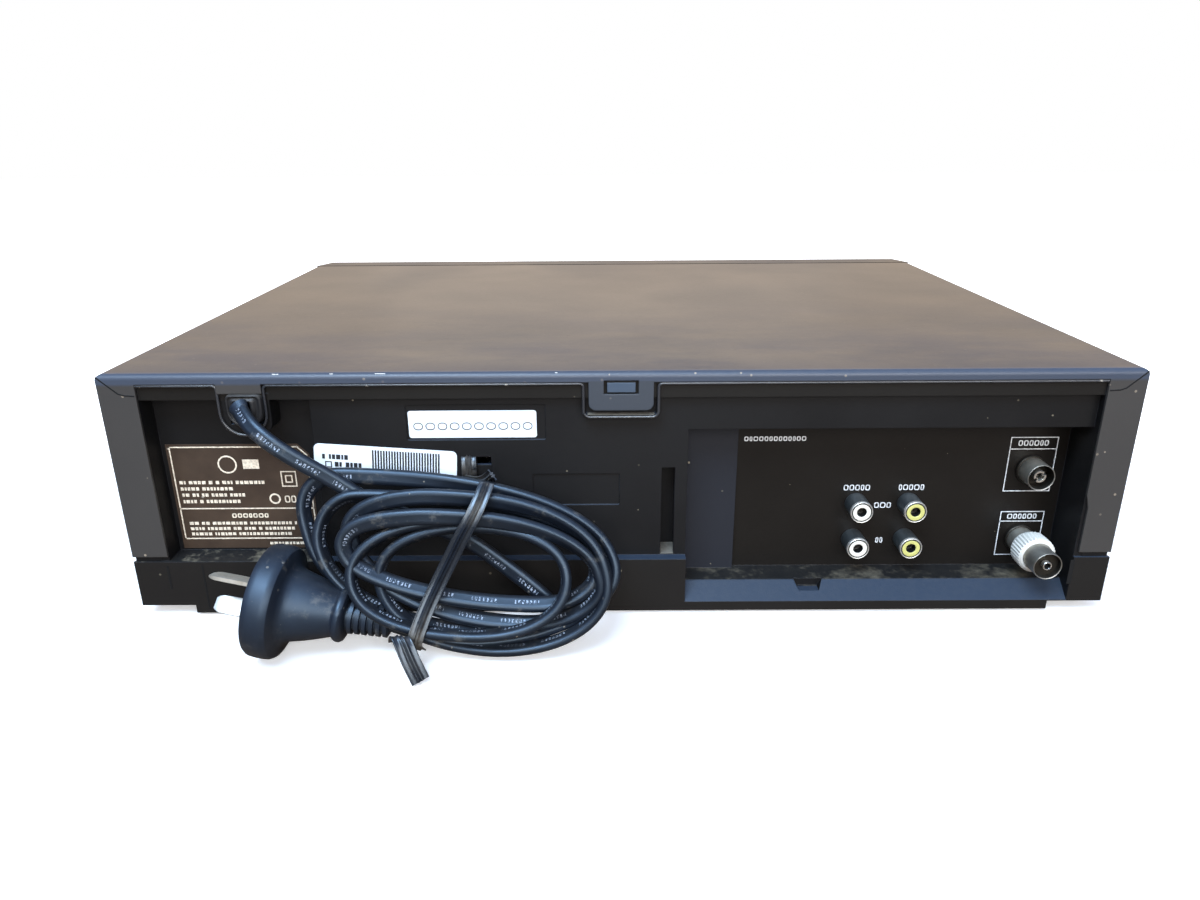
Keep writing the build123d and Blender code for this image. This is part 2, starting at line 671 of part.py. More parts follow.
# ---------------------------------------------------------------- bezel, door and keys
CHEEK = 4.0
DOOR_AXIS_BACK = 3.6
DOOR_AXIS_DOWN = 1.4
DOOR_AXIS = (FACE_Y + DOOR_AXIS_BACK, DOOR_TOP_Z - DOOR_AXIS_DOWN)
DOOR_GAP = 0.6
KEY_FLANGE = 1.2
KEY_DEPTH = 2.5
KEY_STEM_R = 2.0
FRONT_BOARD_BACK = 14.6
FRONT_BOARD_Y = FACE_Y + FRONT_BOARD_BACK
SWITCH_T = 1.2
# Two columns of keys on each side of the door, between the door's cheek and the bezel's edge.
KEY_MARGIN = 18.0
KEY_DOOR_GAP = 2.9
KEY_SPACE = 6.0
KEY_HEIGHT = 12.0
KEY_OUT = HALF - KEY_MARGIN
KEY_IN = DOOR_WIDTH / 2 + DOOR_GAP + CHEEK + KEY_DOOR_GAP
KEY_WIDTH = (KEY_OUT - KEY_IN - KEY_SPACE) / 2
KEY_MID = KEY_IN + KEY_WIDTH
LEFT_ROW_Z = 66.0
PLAY_Z = 68.0
SEARCH_Z = 52.0
STOP_Z = 36.0
RECORD_Z = 20.0
# Each key: left x, right x, low z, high z.
KEYS = {
    "power_button": (-KEY_OUT, KEY_WIDTH - KEY_OUT, LEFT_ROW_Z, LEFT_ROW_Z + KEY_HEIGHT),
    "eject_button": (-KEY_MID, -KEY_IN, LEFT_ROW_Z, LEFT_ROW_Z + KEY_HEIGHT),
    "play_button": (KEY_IN, KEY_OUT, PLAY_Z, PLAY_Z + KEY_HEIGHT),
    "rewind_button": (KEY_IN, KEY_MID, SEARCH_Z, SEARCH_Z + KEY_HEIGHT),
    "forward_button": (KEY_OUT - KEY_WIDTH, KEY_OUT, SEARCH_Z, SEARCH_Z + KEY_HEIGHT),
    "stop_button": (KEY_IN, KEY_OUT, STOP_Z, STOP_Z + KEY_HEIGHT),
    "record_button": (KEY_IN, KEY_MID, RECORD_Z, RECORD_Z + KEY_HEIGHT),
}
ROCKER_Z = 14.0
ROCKER_HEIGHT = 20.0
ROCKER_INSET = 4.0
ROCKER = (KEY_MID + 2 * KEY_SPACE, KEY_OUT - ROCKER_INSET, ROCKER_Z, ROCKER_Z + ROCKER_HEIGHT)
LUG_R = 1.5
LUG_RISE = 10.0
# The bezel's lugs for the key boards, each between two keys.
LUGS = (
    (-KEY_MID - KEY_SPACE / 2, LEFT_ROW_Z + KEY_HEIGHT / 2),
    (KEY_MID + KEY_SPACE / 2, SEARCH_Z + KEY_HEIGHT / 2),
    (KEY_MID + KEY_SPACE, RECORD_Z + LUG_RISE),
)
ROCKER_PIN_R = 1.5
ROCKER_Y = BEZEL_IN_Y + WALL


def bezel_outline(inset):
    """The bezel in plan, drawn in by a wall's thickness."""
    return [
        (-HALF + inset, SEAM_Y),
        (HALF - inset, SEAM_Y),
        (HALF - inset - BEZEL_TAPER, FACE_Y + BEZEL_TOP_ROUND),
        (HALF - inset - 2 * BEZEL_TAPER, FACE_Y + inset),
        (-HALF + inset + 2 * BEZEL_TAPER, FACE_Y + inset),
        (-HALF + inset + BEZEL_TAPER, FACE_Y + BEZEL_TOP_ROUND),
    ]


def bezel_profile(inset):
    """The bezel from the side, drawn in by a wall's thickness."""
    return [
        (SEAM_Y, BASE_Z + inset),
        (FACE_Y + BEZEL_TOP_ROUND / 2, BASE_Z + inset),
        (FACE_Y + inset, BASE_Z + inset + BEZEL_TOP_ROUND / 2),
        (FACE_Y + inset, TOP_Z - inset - BEZEL_TOP_ROUND),
        (FACE_Y + inset + BEZEL_TOP_ROUND / 4, TOP_Z - inset - BEZEL_TOP_ROUND / 4),
        (FACE_Y + inset + BEZEL_TOP_ROUND, TOP_Z - inset),
        (SEAM_Y, TOP_Z - inset),
    ]


def front_panel():
    shell = plan(bezel_outline(0), BASE_Z, TOP_Z) & side(bezel_profile(0), -HALF, HALF)
    shell -= plan(bezel_outline(WALL), BASE_Z, TOP_Z) & side(bezel_profile(WALL), -HALF, HALF)
    y, z = DOOR_AXIS
    inner = DOOR_WIDTH / 2 + DOOR_GAP
    cheek = box(inner, inner + CHEEK, BEZEL_IN_Y, y + CHEEK, z - CHEEK, TOP_Z - WALL)
    shell += both(cheek)
    door_low, door_high = DOOR_TOP_Z - DOOR_HEIGHT - DOOR_GAP, DOOR_TOP_Z + DOOR_GAP
    shell -= box(-inner, inner, FACE_Y - 1, BEZEL_IN_Y, door_low, door_high)
    shell -= bar_x(y, z, -inner - CHEEK, inner + CHEEK, DOOR_PIN_R + RUN)
    shell -= box(*WINDOW_X, FACE_Y - 1, BEZEL_IN_Y + 1, *WINDOW_Z)
    for x0, x1, z0, z1 in [*KEYS.values(), ROCKER]:
        shell -= box(x0 - CLEAR, x1 + CLEAR, FACE_Y - 1, BEZEL_IN_Y + 1, z0 - CLEAR, z1 + CLEAR)
    x0, x1, z0, z1 = ROCKER
    mid = (z0 + z1) / 2
    for a, b in ((x0 - CLEAR - WALL, x0 - CLEAR), (x1 + CLEAR, x1 + CLEAR + WALL)):
        shell += box(a, b, BEZEL_IN_Y, ROCKER_Y + WALL, mid - WALL, mid + WALL)
        shell -= bar_x(ROCKER_Y, mid, a, b, ROCKER_PIN_R + RUN)
    for x, z in LUGS:
        shell += bar_y(x, z, BEZEL_IN_Y, FRONT_BOARD_Y - BOARD_T, LUG_R)
    return shell


def cassette_door():
    half = DOOR_WIDTH / 2
    y, z = DOOR_AXIS
    leaf = box(-half, half, FACE_Y + CLEAR, FACE_Y + CLEAR + DOOR_T, DOOR_TOP_Z - DOOR_HEIGHT, DOOR_TOP_Z)
    rib = box(-half, half, FACE_Y + CLEAR + DOOR_T, y + DOOR_PIN_R, z - DOOR_PIN_R, z + DOOR_PIN_R)
    pins = both(bar_x(y, z, half, half + DOOR_GAP + CHEEK, DOOR_PIN_R))
    return leaf + rib + pins


def display_window():
    return box(*WINDOW_X, FACE_Y + CLEAR, FACE_Y + CLEAR + WINDOW_T, *WINDOW_Z)


def key(x0, x1, z0, z1):
    """A push key: the cap in its hole, a flange behind the bezel and a stem toward its switch."""
    cap = box(x0, x1, FRONT_Y, BEZEL_IN_Y + CLEAR, z0, z1)
    cap = fillet(cap.faces().sort_by(Axis.Y)[0].edges(), RECESS_DEPTH)
    y0 = BEZEL_IN_Y + CLEAR
    flange = box(x0 - KEY_FLANGE, x1 + KEY_FLANGE, y0, y0 + KEY_DEPTH, z0 - KEY_FLANGE, z1 + KEY_FLANGE)
    switch_y = FRONT_BOARD_Y - BOARD_T - SWITCH_T
    stem = bar_y((x0 + x1) / 2, (z0 + z1) / 2, y0 + KEY_DEPTH, switch_y - BUTTON_TRAVEL - CLEAR, KEY_STEM_R)
    return cap + flange + stem


def channel_rocker():
    """A two-way key that rocks on a pin across its middle."""
    x0, x1, z0, z1 = ROCKER
    mid = (z0 + z1) / 2
    cap = box(x0, x1, FRONT_Y, BEZEL_IN_Y + CLEAR, z0 + CLEAR, z1 - CLEAR)
    cap = fillet(cap.faces().sort_by(Axis.Y)[0].edges(), RECESS_DEPTH)
    web = box(x0, x1, BEZEL_IN_Y + CLEAR, ROCKER_Y + ROCKER_PIN_R, mid - WALL, mid + WALL)
    return cap + web + bar_x(ROCKER_Y, mid, x0 - CLEAR - WALL, x1 + CLEAR + WALL, ROCKER_PIN_R)


def front_board():
    """The key board behind the right half of the bezel, with a switch behind each key."""
    y1, y0 = FRONT_BOARD_Y, FRONT_BOARD_Y - BOARD_T
    made = []
    left_pair = ("power_button", "eject_button")
    for names in (left_pair, [name for name in KEYS if name not in left_pair]):
        keys = [KEYS[name] for name in names]
        low_x = min(k[0] for k in keys)
        high_x = max(k[1] for k in keys)
        board = box(low_x, high_x, y0, y1, min(k[2] for k in keys), max(k[3] for k in keys))
        for a, b, c, d in keys:
            board += box((a + b) / 2 - WALL, (a + b) / 2 + WALL, y0 - SWITCH_T, y0, (c + d) / 2 - WALL,
                         (c + d) / 2 + WALL)
        made.append(board)
    return made


def display_module():
    """The lamp display behind the window, on its own small board."""
    y0 = FACE_Y + CLEAR + WINDOW_T
    (x0, x1), (z0, z1) = WINDOW_X, WINDOW_Z
    y1 = y0 + LAMP_T
    glass = box(x0 + BOARD_INSET, x1 - BOARD_INSET, y0, y1, z0 + WALL, z1 - WALL)
    return glass + box(x0 + WALL, x1 - WALL, y1, y1 + BOARD_T, z0 - WALL, z1 + WALL)


# ---------------------------------------------------------------- boards and power
CHIP_H = 3.0
# Chips on the main board: centre x and y from its left front corner, width, depth.
CHIPS = (
    (104.0, 36.0, 28.0, 28.0),
    (164.0, 30.0, 36.0, 14.0),
    (54.0, 56.0, 20.0, 40.0),
    (18.0, 126.0, 24.0, 24.0),
)
CAPACITOR_R = 5.0
CAPACITOR_H = 12.0
# Capacitors, from the same corner.
CAPACITORS = ((12.0, 96.0), (26.0, 100.0), (12.0, 152.0), (12.0, 26.0), (26.0, 34.0))
SUPPLY_CAPACITOR = 16.0  # in from the right front corner, both ways
SUPPLY_END = 11.0  # from the ear's inner side to the transformer and the heat sink
TRANSFORMER_X = (DECK_X, SIDE_X - SUPPLY_END)
TRANSFORMER_DEPTH = 54.0
TRANSFORMER_GAP = 10.0  # before the label bay's wall
TRANSFORMER_Y = (LABEL_Y - TRANSFORMER_GAP - TRANSFORMER_DEPTH, LABEL_Y - TRANSFORMER_GAP)
TRANSFORMER_TOP = 56.0
CORE_T = 16.0
SINK_SIDE = 4.0
SINK_X = (DECK_X + SINK_SIDE, SIDE_X - SUPPLY_END)
SINK_DEPTH = 12.0
SINK_GAP = 46.0
SINK_Y = (TRANSFORMER_Y[0] - SINK_GAP - SINK_DEPTH, TRANSFORMER_Y[0] - SINK_GAP)
SINK_TOP = 62.0
FIN_T = 1.6
FINS = 6


def main_board():
    board = box(*BOARD_X, *BOARD_Y, BOARD_Z, BOARD_Z + BOARD_T)
    for x, y in deck_posts():
        board -= post(x, y, BOARD_Z - 1, BOARD_Z + BOARD_T + 1, POST_R + CLEAR)
    return board


def board_chips():
    z0 = BOARD_Z + BOARD_T
    made = []
    for right, back, width, depth in CHIPS:
        x, y = BOARD_X[0] + right, BOARD_Y[0] + back
        made.append(box(x - width / 2, x + width / 2, y - depth / 2, y + depth / 2, z0, z0 + CHIP_H))
    return made


def board_capacitors():
    z0 = BOARD_Z + BOARD_T
    places = [(BOARD_X[0] + right, BOARD_Y[0] + back) for right, back in CAPACITORS]
    places.append((BOARD_X[1] - SUPPLY_CAPACITOR, BOARD_Y[0] + SUPPLY_CAPACITOR))
    return [post(x, y, z0, z0 + CAPACITOR_H, CAPACITOR_R) for x, y in places]


def power_transformer():
    """A mains transformer: an iron core with its winding around the middle."""
    (x0, x1), (y0, y1) = TRANSFORMER_X, TRANSFORMER_Y
    mid = (y0 + y1) / 2
    core = box(x0, x1, mid - CORE_T / 2, mid + CORE_T / 2, FLOOR_TOP, TRANSFORMER_TOP)
    low, high = FLOOR_TOP + BOARD_INSET, TRANSFORMER_TOP - BOARD_INSET
    winding = box(x0 + BOARD_INSET, x1 - BOARD_INSET, y0, y1, low, high)
    return core + winding


def heat_sink():
    """A finned plate that cools the power supply."""
    (x0, x1), (y0, y1) = SINK_X, SINK_Y
    sink = box(x0, x1, y0, y0 + FIN_T, FLOOR_TOP, SINK_TOP)
    for n in range(FINS):
        x = x0 + (x1 - x0 - FIN_T) * n / (FINS - 1)
        sink += box(x, x + FIN_T, y0 + FIN_T, y1, FLOOR_TOP, SINK_TOP)
    return sink


# ---------------------------------------------------------------- tape deck
BOSS_R = 6.0
BOSS_H = 1.2
SPINDLE_R = 2.0
REEL_T = 3.0
REEL_HUB_R = 8.5
REEL_HUB_TOP = 47.0
FLANGE_STEP = 1.2
GEAR_T = 3.0
IDLER_R = 17.0
GUIDE_BASE_R = 6.0
GUIDE_ROLLER_R = 3.0
GUIDE_TOP = 56.0
KEEPER_R = 5.0
FLYWHEEL_Z = 14.5
FLYWHEEL_T = 5.0
PULLEY_Z = 20.5
PULLEY_T = 3.5
BELT_T = 1.2
BELT_W = 2.5
CAPSTAN_TOP = 56.0
ROLLER_TOP = 52.0
ROLLER_SHAFT_R = 1.5
ARM_T = 2.5
ARM_R = 5.0
DECK_LOW = DECK_Z - DECK_T
FLOAT_Z = DECK_Z + CLEAR


def guide_slot(sign):
    """The slot that one threading guide runs in, from its start to its end."""
    (x0, y0), (x1, y1) = GUIDE_START, GUIDE_END
    r = SPINDLE_R + CLEAR
    slot = post(sign * x0, y0, DECK_LOW - 1, DECK_Z + 1, r) + post(sign * x1, y1, DECK_LOW - 1, DECK_Z + 1, r)
    length = hypot(x1 - x0, y1 - y0)
    angle = degrees(atan2(y1 - y0, sign * (x1 - x0)))
    middle = Pos(sign * (x0 + x1) / 2, (y0 + y1) / 2, DECK_Z - DECK_T / 2)
    return slot + middle * Rot(0, 0, angle) * Box(length, 2 * r, DECK_T + 2)


def deck_plate():
    """The steel deck with its fixed spindles and bearing bosses."""
    deck = box(-DECK_X, DECK_X, *DECK_Y, DECK_LOW, DECK_Z)
    half = DECK_TONGUE_HALF
    deck += box(-half, half, DECK_Y[1], DRUM_Y + DRUM_R + 1, DECK_LOW, DECK_Z)
    for x in (-REEL_X, REEL_X, 0.0):
        deck += post(x, REEL_Y, DECK_Z, DECK_Z + BOSS_H, BOSS_R)
    for x in (-REEL_X, REEL_X):
        deck += post(x, REEL_Y, DECK_Z + BOSS_H, REEL_HUB_TOP - FLANGE_STEP, SPINDLE_R)
    deck += post(0, REEL_Y, DECK_Z + BOSS_H, DECK_Z + BOSS_H + GEAR_T + FLANGE_STEP, SPINDLE_R)
    deck += post(CAPSTAN_X, CAPSTAN_Y, DECK_Z, DECK_Z + BOSS_H, BOSS_R)
    deck -= post(CAPSTAN_X, CAPSTAN_Y, DECK_LOW - 1, DECK_Z + BOSS_H, CAPSTAN_R + RUN)
    deck += post(0, REEL_PULLEY_Y, DECK_Z, DECK_Z + BOSS_H, BOSS_R)
    deck -= post(0, REEL_PULLEY_Y, DECK_LOW - 1, DECK_Z + BOSS_H, SPINDLE_R + RUN)
    for x, y in (PINCH_PIVOT, (CAM_X, CAM_Y)):
        deck += post(x, y, DECK_Z, DECK_Z + BOSS_H, BOSS_R / 2)
        deck += post(x, y, DECK_Z + BOSS_H, DECK_Z + BOSS_R, SPINDLE_R)
    return deck - guide_slot(-1) - guide_slot(1)


def reel_table(x):
    """A reel table: a disc with a hub and three driving splines, on its spindle."""
    z0 = DECK_Z + BOSS_H + CLEAR
    table = post(x, REEL_Y, z0, z0 + REEL_T, REEL_R) + post(x, REEL_Y, z0, REEL_HUB_TOP, REEL_HUB_R)
    spline_top = REEL_HUB_TOP - EDGE_ROUND
    for n in range(3):
        spline = box(REEL_HUB_R - SKIN, REEL_HUB_R + SKIN, -SKIN, SKIN, z0 + REEL_T, spline_top)
        table += Pos(x, REEL_Y, 0) * Rot(0, 0, 120 * n) * spline
    table -= post(x, REEL_Y, z0 - 1, REEL_HUB_TOP + 1, SPINDLE_R + RUN)
    return table


def idler_gear():
    z0 = DECK_Z + BOSS_H + CLEAR
    gear = post(0, REEL_Y, z0, z0 + GEAR_T, IDLER_R)
    return gear - post(0, REEL_Y, z0 - 1, z0 + GEAR_T + 1, SPINDLE_R + RUN)


def drum_place():
    """The drum's tilted place: its axis leans back, away from the tape."""
    return Pos(0, DRUM_Y, DECK_Z + DRUM_R * sin(radians(DRUM_TILT))) * Rot(-DRUM_TILT, 0, 0)


def drum_lower():
    """The fixed lower drum, on a pedestal that stands level on the deck."""
    drum = drum_place() * Pos(0, 0, LOWER_DRUM / 2) * Cylinder(DRUM_R, LOWER_DRUM)
    drum += post(0, DRUM_Y, DECK_Z, DECK_Z + LOWER_DRUM / 2, DRUM_R - WALL)
    shaft_top = LOWER_DRUM + CLEAR + UPPER_DRUM / 2
    shaft = Pos(0, 0, (LOWER_DRUM + shaft_top) / 2) * Cylinder(SPINDLE_R, shaft_top - LOWER_DRUM)
    return drum + drum_place() * shaft


def drum_upper():
    """The spinning upper drum, with its raised hub."""
    low = LOWER_DRUM + CLEAR
    drum = Pos(0, 0, low + UPPER_DRUM / 2) * Cylinder(DRUM_R, UPPER_DRUM)
    drum += Pos(0, 0, low + UPPER_DRUM + DRUM_HUB / 2) * Cylinder(DRUM_R / 2, DRUM_HUB)
    bore = LOWER_DRUM + UPPER_DRUM / 2 + 2 * CLEAR
    drum -= Pos(0, 0, bore / 2) * Cylinder(SPINDLE_R + RUN, bore)
    return drum_place() * drum


def capstan_flywheel():
    """The capstan shaft with its flywheel and the belt pulley, all one turning piece."""
    x, y = CAPSTAN_X, CAPSTAN_Y
    wheel = post(x, y, FLYWHEEL_Z, FLYWHEEL_Z + FLYWHEEL_T, FLYWHEEL_R)
    pulley = post(x, y, FLYWHEEL_Z + FLYWHEEL_T, PULLEY_Z + PULLEY_T, CAPSTAN_PULLEY_R)
    collar = post(x, y, PULLEY_Z + PULLEY_T, DECK_LOW - CLEAR, CAPSTAN_R * 2)
    return wheel + pulley + collar + post(x, y, FLYWHEEL_Z, CAPSTAN_TOP, CAPSTAN_R)


def reel_pulley():
    """The belt's other pulley, whose shaft passes up through the deck to a small gear."""
    x, y = 0, REEL_PULLEY_Y
    pulley = post(x, y, PULLEY_Z, PULLEY_Z + PULLEY_T, REEL_PULLEY_R)
    collar = post(x, y, PULLEY_Z + PULLEY_T, DECK_LOW - CLEAR, CAPSTAN_R * 2)
    z0 = DECK_Z + BOSS_H + CLEAR
    gear = post(x, y, z0, z0 + GEAR_T, BOSS_R)
    return pulley + collar + gear + post(x, y, PULLEY_Z, z0, SPINDLE_R)


def drive_belt():
    """The flat belt around both pulleys."""
    ends = ((CAPSTAN_X, CAPSTAN_Y, CAPSTAN_PULLEY_R + CLEAR), (0, REEL_PULLEY_Y, REEL_PULLEY_R + CLEAR))
    loops = []
    for grow in (BELT_T, 0):
        outline = Sketch() + [Pos(x, y) * Circle(r + grow) for x, y, r in ends]
        loops.append(make_hull(outline.edges()))
    belt = extrude(loops[0], BELT_W) - extrude(loops[1], BELT_W)
    return Pos(0, 0, PULLEY_Z + (PULLEY_T - BELT_W) / 2) * belt


def pinch_rest():
    """Where the pinch roller stands at rest, swung open from the capstan."""
    px, py = PINCH_PIVOT
    reach = hypot(CAPSTAN_X - px, CAPSTAN_Y - py)
    gap = CAPSTAN_R + PINCH_R + CLEAR
    toward = degrees(atan2(CAPSTAN_Y - py, CAPSTAN_X - px))
    inside = (PINCH_ARM**2 + reach**2 - gap**2) / (2 * PINCH_ARM * reach)
    angle = radians(toward + degrees(acos(inside)) + PINCH_OPEN)
    return px + PINCH_ARM * cos(angle), py + PINCH_ARM * sin(angle)


def pinch_arm():
    """The arm that swings the pinch roller, with the roller's fixed shaft."""
    (px, py), (x, y) = PINCH_PIVOT, pinch_rest()
    z0 = DECK_Z + BOSS_H + CLEAR
    arm = post(px, py, z0, z0 + ARM_T, ARM_R) + post(x, y, z0, z0 + ARM_T, ARM_R)
    angle = degrees(atan2(y - py, x - px))
    arm += Pos((px + x) / 2, (py + y) / 2, z0 + ARM_T / 2) * Rot(0, 0, angle) * Box(PINCH_ARM, ARM_R, ARM_T)
    arm += post(x, y, z0 + ARM_T, ROLLER_TOP, ROLLER_SHAFT_R)
    return arm - post(px, py, z0 - 1, z0 + ARM_T + 1, SPINDLE_R + RUN)


def pinch_roller():
    x, y = pinch_rest()
    z0 = DECK_Z + BOSS_H + 2 * CLEAR + ARM_T
    roller = post(x, y, z0, ROLLER_TOP - CLEAR, PINCH_R)
    return roller - post(x, y, z0 - 1, ROLLER_TOP, ROLLER_SHAFT_R + RUN)


def cam_gear():
    z0 = DECK_Z + BOSS_H + CLEAR
    gear = post(CAM_X, CAM_Y, z0, z0 + GEAR_T, CAM_R)
    gear += post(CAM_X, CAM_Y + CAM_R / 2, z0 + GEAR_T, z0 + 2 * GEAR_T, SPINDLE_R)
    return gear - post(CAM_X, CAM_Y, z0 - 1, z0 + GEAR_T + 1, SPINDLE_R + RUN)


def tape_guide(sign):
    """A threading guide: a base on the deck, a keeper under it, and an upright roller."""
    x, y = sign * GUIDE_START[0], GUIDE_START[1]
    guide = post(x, y, FLOAT_Z, FLOAT_Z + BOSS_R, GUIDE_BASE_R)
    guide += post(x, y, FLOAT_Z + BOSS_R, GUIDE_TOP, GUIDE_ROLLER_R)
    guide += post(x, y, GUIDE_TOP, GUIDE_TOP + FLANGE_STEP, GUIDE_ROLLER_R + SKIN)
    guide += post(x, y, DECK_LOW - CLEAR, FLOAT_Z, SPINDLE_R)
    return guide + post(x, y, DECK_LOW - CLEAR - EDGE_ROUND, DECK_LOW - CLEAR, KEEPER_R)


HEAD_DEPTH = 8.0
ERASE_HEAD_X = (-60.0, -51.0)
ERASE_HEAD_AHEAD = 16.0  # of the cam's axis
SOUND_HEAD_X = (50.0, 57.0)
SOUND_HEAD_Y = 53.0
MOTOR_X = (-100.0, -66.0)
MOTOR_BACK = 12.0
MOTOR_Y = DECK_Y[1] - MOTOR_BACK
MOTOR_R = 9.0


def tape_heads():
    """The erase head and the sound and control head, each on the deck."""
    made = []
    for (x0, x1), y in ((ERASE_HEAD_X, CAM_Y - ERASE_HEAD_AHEAD), (SOUND_HEAD_X, SOUND_HEAD_Y)):
        made.append(box(x0, x1, y, y + HEAD_DEPTH, DECK_Z, ROLLER_TOP))
    return made


def loading_motor():
    """The motor that turns the cam gear, in a saddle on the deck."""
    z = DECK_Z + MOTOR_R + BOSS_H
    saddle = box(MOTOR_X[0] + BOSS_R, MOTOR_X[1] - BOSS_R, MOTOR_Y - MOTOR_R, MOTOR_Y + MOTOR_R, DECK_Z, z)
    body = bar_x(MOTOR_Y, z, *MOTOR_X, MOTOR_R)
    return saddle + body + bar_x(MOTOR_Y, z, MOTOR_X[1], MOTOR_X[1] + BOSS_R, SPINDLE_R)


# ---------------------------------------------------------------- cassette carriage
SLIDER_T = 1.2
HOLDER_PIN_Y = (-78.0, -40.0)
HOLDER_PIN_Z = 64.0
SLIDER_PIN_Z = 72.0
SLIDER_Z = (40.0, 83.0)
SLIDER_MARGIN = 10.0
BRACKET_TOP = 80.0
BRIDGE_Y = (-66.0, -52.0)
LIP = 11.0

CASSETTE_PLAY = 1.5
PLATE_GAP = 1.5

HOLDER_IN = CASSETTE[0] / 2 + SHEET
HOLDER_OUT = HOLDER_IN + SHEET
HOLDER_ROOF = HOLDER_FLOOR + CASSETTE[2] + CASSETTE_PLAY
SLIDER_IN = HOLDER_OUT + PLATE_GAP
SLIDER_OUT = SLIDER_IN + SLIDER_T
BRACKET_IN = SLIDER_OUT + PLATE_GAP
BRACKET_OUT = BRACKET_IN + SLIDER_T


def cassette_holder():
    """The folded tray that grips the cassette by its edges and roof, with a pin at each corner."""
    y0, y1 = HOLDER_FRONT, HOLDER_FRONT + HOLDER_DEPTH
    wall = box(HOLDER_IN, HOLDER_OUT, y0, y1, HOLDER_FLOOR - SHEET, HOLDER_ROOF + SHEET)
    lip = box(HOLDER_IN - LIP, HOLDER_IN, y0, y1, HOLDER_FLOOR - SHEET, HOLDER_FLOOR)
    tray = both(wall + lip) + box(-HOLDER_IN, HOLDER_IN, y0, y1, HOLDER_ROOF, HOLDER_ROOF + SHEET)
    for y in HOLDER_PIN_Y:
        tray += both(bar_x(y, HOLDER_PIN_Z, HOLDER_OUT, SLIDER_OUT + CLEAR, GUIDE_PIN_R))
    return tray


def carriage_slider():
    """Two side plates joined by a bridge; they run in the brackets and guide the holder's drop."""
    y0, y1 = HOLDER_PIN_Y[0] - SLIDER_MARGIN, HOLDER_PIN_Y[1] + SLIDER_MARGIN
    plate = box(SLIDER_IN, SLIDER_OUT, y0, y1, *SLIDER_Z)
    r = GUIDE_PIN_R + RUN
    for y in HOLDER_PIN_Y:
        plate -= box(SLIDER_IN, SLIDER_OUT, y - r, y + r, HOLDER_PIN_Z - CARRY_DROP - r, HOLDER_PIN_Z + r)
        plate += bar_x(y, SLIDER_PIN_Z, SLIDER_OUT, BRACKET_OUT + CLEAR, GUIDE_PIN_R)
    bridge = box(-SLIDER_IN, SLIDER_IN, *BRIDGE_Y, SLIDER_Z[1] - SLIDER_T, SLIDER_Z[1])
    return both(plate) + bridge


def carriage_brackets():
    """The two slotted plates that stand on the deck beside the cassette's way in."""
    y0 = HOLDER_PIN_Y[0] - 2 * SLIDER_MARGIN
    y1 = HOLDER_PIN_Y[1] + CARRY_IN + 2 * SLIDER_MARGIN
    r = GUIDE_PIN_R + RUN
    plate = box(BRACKET_IN, BRACKET_OUT, y0, y1, DECK_Z, BRACKET_TOP)
    plate += box(BRACKET_OUT, BRACKET_OUT + BOARD_INSET, y0, y1, DECK_Z, DECK_Z + SLIDER_T)
    slot = box(BRACKET_IN, BRACKET_OUT, HOLDER_PIN_Y[0] - r, HOLDER_PIN_Y[1] + CARRY_IN + r, SLIDER_PIN_Z - r,
               SLIDER_PIN_Z + r)
    plate -= slot
    return plate, mirror(plate, Plane.YZ)


# ---------------------------------------------------------------- mains lead, hank, plug and tie
CORD_R = 2.2
# The lead's route from the gland to the hank, as it hangs.
LEAD_ROUTE = [
    (GLAND_CORD_X, REAR_Y + GLAND_PROUD, GLAND_CORD_Z),
    (127.0, 140.5, 79.6),
    (118.5, 144.2, 73.4),
    (109.0, 143.9, 66.3),
    (100.4, 142.0, 60.0),
    (87.0, 141.0, 49.2),
]
LEAD_SHARE = 0.45
HANK_CENTRE = (55.0, 150.6, 30.9)
HANK_SIZE = (112.0, 58.0)
HANK_T = 18.0
HANK_LEAN = 18.0
PLUG_TIP = (124.2, 155.5, 20.7)
PLUG_PITCH = 10.5
PLUG_YAW = -4.0
PLUG_ROLL = 90.0
DISC_R = 19.5
DISC_T = 7.5
CONE_LENGTH = 20.0
CONE_R = (8.5, 12.5)
COLLAR_R = 9.5
COLLAR_T = 3.0
NECK_R = 6.0
NECK_LENGTH = 18.0
BLADE = (17.0, 6.3, 1.6)
BLADE_SPREAD = 6.9
BLADE_LEAN = 30.0
TIE_WIDTH = 5.0
TIE_T = 1.0
TIE_SLANT = -22.0
TIE_SHIFT = 3.0
TIE_TAIL_X = 69.5
TIE_TAIL = [(165.9, 14.0), (167.5, 15.4), (178.6, 1.5), (178.6, 0.0), (177.0, 0.0)]


def lead_radii(route):
    """The radius of each of the route's arcs, as large as its two runs allow."""
    points = [Vector(*p) for p in route]
    radii = []
    for a, b, c in zip(points, points[1:], points[2:]):
        turn = (b - a).get_angle(c - b)
        radii.append(LEAD_SHARE * min((b - a).length, (c - b).length) / tan(radians(turn / 2)))
    return radii


def power_lead():
    radii = lead_radii(LEAD_ROUTE)
    path = FilletPolyline(*LEAD_ROUTE, radius=radii)
    start = Plane(origin=path @ 0, z_dir=path % 0)
    tube = sweep(start * Circle(CORD_R), path=path)
    share = tube.volume / (pi * CORD_R**2 * path.length)
    print("lead radii", [round(r, 1) for r in radii], "length", round(path.length, 1))
    print("lead volume share", round(share, 4))
    return tube


def plug_place():
    """The plug's place: its local +Z runs along the plug toward the blades."""
    return Pos(*PLUG_TIP) * Rot(0, 0, PLUG_YAW) * Rot(0, 90 - PLUG_PITCH, 0) * Rot(0, 0, PLUG_ROLL)


